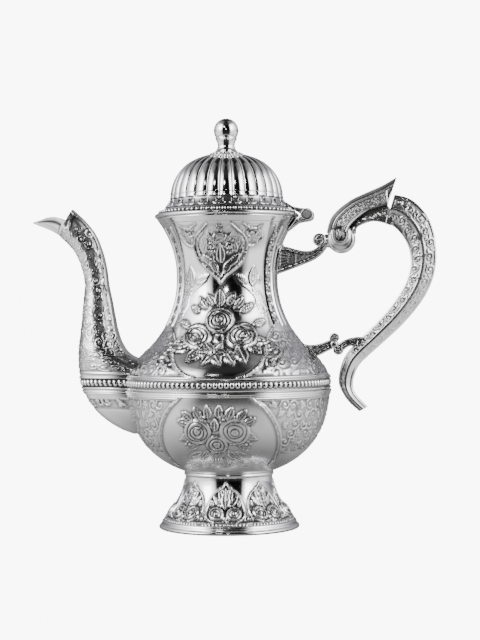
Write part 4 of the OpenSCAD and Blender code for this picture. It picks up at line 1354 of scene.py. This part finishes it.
def light_floor(tree):
    """The camera sees a floor as bright as the backdrop; the metal mirrors a painted glow instead: a grey
    table with painted light at its sides, dark far in front, and a painted shadow round the pot.
    """
    tree.nodes.remove(tree.nodes["Principled BSDF"])
    matt = node(tree, "ShaderNodeBsdfDiffuse", Color=(0.46, 0.46, 0.48, 1))
    glow = node(tree, "ShaderNodeEmission", Strength=WHITE - 0.6)
    both = tree.nodes.new("ShaderNodeAddShader")
    tree.links.new(matt.outputs[0], both.inputs[0])
    tree.links.new(glow.outputs[0], both.inputs[1])
    aside, ahead, _ = camera_side(tree, tree.nodes.new("ShaderNodeTexCoord").outputs["Object"])
    squares = weigh(tree, "ADD", weigh(tree, "MULTIPLY", aside, aside), weigh(tree, "MULTIPLY", ahead, ahead))
    reach = weigh(tree, "SQRT", squares)
    lean = weigh(tree, "DIVIDE", ahead, weigh(tree, "ADD", reach, 0.001))
    # each ramp runs from the pot to half a metre away, and starts low by the pot: a painted shadow of the pot
    out = weigh(tree, "MULTIPLY", reach, 2.0)
    in_front = ramp(tree, out, [(0.12, 0.12), (0.24, 0.34), (0.5, 0.34), (0.66, 0.03), (1.0, 0.01)])
    side_stops = [(0.12, 0.12), (0.24, 0.36), (0.4, 0.66), (0.54, 0.7), (0.76, 0.5), (1.0, 0.85)]
    at_sides = ramp(tree, out, side_stops)
    behind = ramp(tree, out, [(0.12, 0.1), (0.3, 0.18), (1.0, 0.18)])
    front_share = spread(tree, lean, 0.62, 0.84, 0.0, 1.0)
    back_share = spread(tree, lean, -0.2, -0.7, 0.0, 1.0)
    mirrored = colour_mix(tree, back_share, colour_mix(tree, front_share, at_sides, in_front), behind)
    # painted glow standing in for the lit table and the pot's shadow on it
    painted_floor_glow = node(tree, "ShaderNodeEmission", Strength=2.0)
    tree.links.new(mirrored, painted_floor_glow.inputs["Color"])
    choose(tree, painted_floor_glow.outputs[0], both.outputs[0], "Material Output")


def both_ways(stops, blue=1.0):
    """Stops by angle from the camera's side, the same to the left and to the right."""
    return [(0.5 - angle / 360, grey, blue) for angle, grey in reversed(stops)] + [
        (0.5 + angle / 360, grey, blue) for angle, grey in stops
    ]


def by_rise(stops):
    """Stops by angle above the horizon, with the first and last carried on to the ends."""
    inner = [(0.5 + angle / 180, grey) for angle, grey in stops]
    return [(0.0, stops[0][1])] + inner + [(1.0, stops[-1][1])]


def light_room(tree):
    """What the metal mirrors: a dark gap in front, bright walls beside it, a dim room behind, a dark roof."""
    aside, ahead, upward = camera_side(tree, tree.nodes.new("ShaderNodeTexCoord").outputs["Generated"])
    around = weigh(tree, "MULTIPLY_ADD", weigh(tree, "ARCTAN2", aside, ahead), 1 / (2 * PI), 0.5)
    rise = weigh(tree, "MULTIPLY_ADD", weigh(tree, "ARCSINE", upward), 1 / PI, 0.5)
    wall_turn = [(33, 0.0005), (40, 0.4), (48, 1.0), (68, 1.0), (90, 0.5),
                 (112, 0.2), (130, 0.09), (152, 0.07), (180, 0.062)]
    roof_turn = [(30, 0.005), (50, 0.022), (64, 0.045), (130, 0.045), (146, 0.005)]
    walls = ramp(tree, around, both_ways(wall_turn, 1.08))
    roof = ramp(tree, around, both_ways(roof_turn))
    overhead = ramp(tree, rise, by_rise([(42, 0), (50, 0.75), (58, 1)]))
    low_share = ramp(tree, rise, by_rise([(0, 0.4), (7, 0.6), (18, 1)]))
    top_share = ramp(tree, rise, by_rise([(66, 1), (80, 0.25)]))
    sky = colour_mix(tree, overhead, multiply(tree, walls, low_share), multiply(tree, roof, top_share))
    room = tree.nodes["Background"]
    room.inputs["Strength"].default_value = MIRRORED
    tree.links.new(sky, room.inputs["Color"])
    backdrop = node(tree, "ShaderNodeBackground", Color=(1, 1, 1, 1), Strength=WHITE)
    choose(tree, room.outputs[0], backdrop.outputs[0], "World Output")


floor_mesh = bpy.data.meshes.new("floor")
ring = [(30 * math.cos(a), 30 * math.sin(a), -0.0004) for a in np.linspace(0, 2 * PI, 97)[:-1]]
floor_mesh.from_pydata(ring, [], [list(range(96))])
floor = bpy.data.objects.new("floor", floor_mesh)
bpy.context.scene.collection.objects.link(floor)
paint = bpy.data.materials.new("pale_floor")
paint.use_nodes = True
light_floor(paint.node_tree)
floor_mesh.materials.append(paint)

world = bpy.data.worlds.new("studio")
bpy.context.scene.world = world
world.use_nodes = True
light_room(world.node_tree)


def soft_light(name, place, aim_height, width, height, power):
    """A rectangular lamp at a place, turned towards the pot's axis."""
    lamp = bpy.data.lights.new(name, "AREA")
    lamp.energy = power
    lamp.shape = "RECTANGLE"
    lamp.size = width
    lamp.size_y = height
    light = bpy.data.objects.new(name, lamp)
    bpy.context.scene.collection.objects.link(light)
    light.location = place
    light.rotation_mode = "QUATERNION"
    light.rotation_quaternion = (Vector((0, 0, aim_height)) - light.location).to_track_quat("-Z", "Y")


soft_light("window_left", (-1.1, -0.9, 0.7), 0.12, 0.5, 0.9, 5)
soft_light("window_right", (1.3, -0.8, 0.6), 0.12, 0.5, 0.9, 4)
soft_light("low_window", (0.10, -1.25, 0.47), 0.12, 0.12, 0.07, 0.5)
soft_light("high_window", (-0.216, -1.015, 0.88), 0.1, 0.2, 0.14, 0.9)

lens = bpy.data.cameras.new("camera")
lens.lens = 87.9
lens.sensor_width = 36
lens.shift_x = 0.0192
lens.shift_y = 0.0047
lens.clip_start = 0.05
camera = bpy.data.objects.new("camera", lens)
bpy.context.scene.collection.objects.link(camera)
camera.location = (0.12187, -0.99255, 0.1304)
camera.rotation_euler = (PI / 2, math.radians(0.48), CAMERA_TURN)
bpy.context.scene.camera = camera
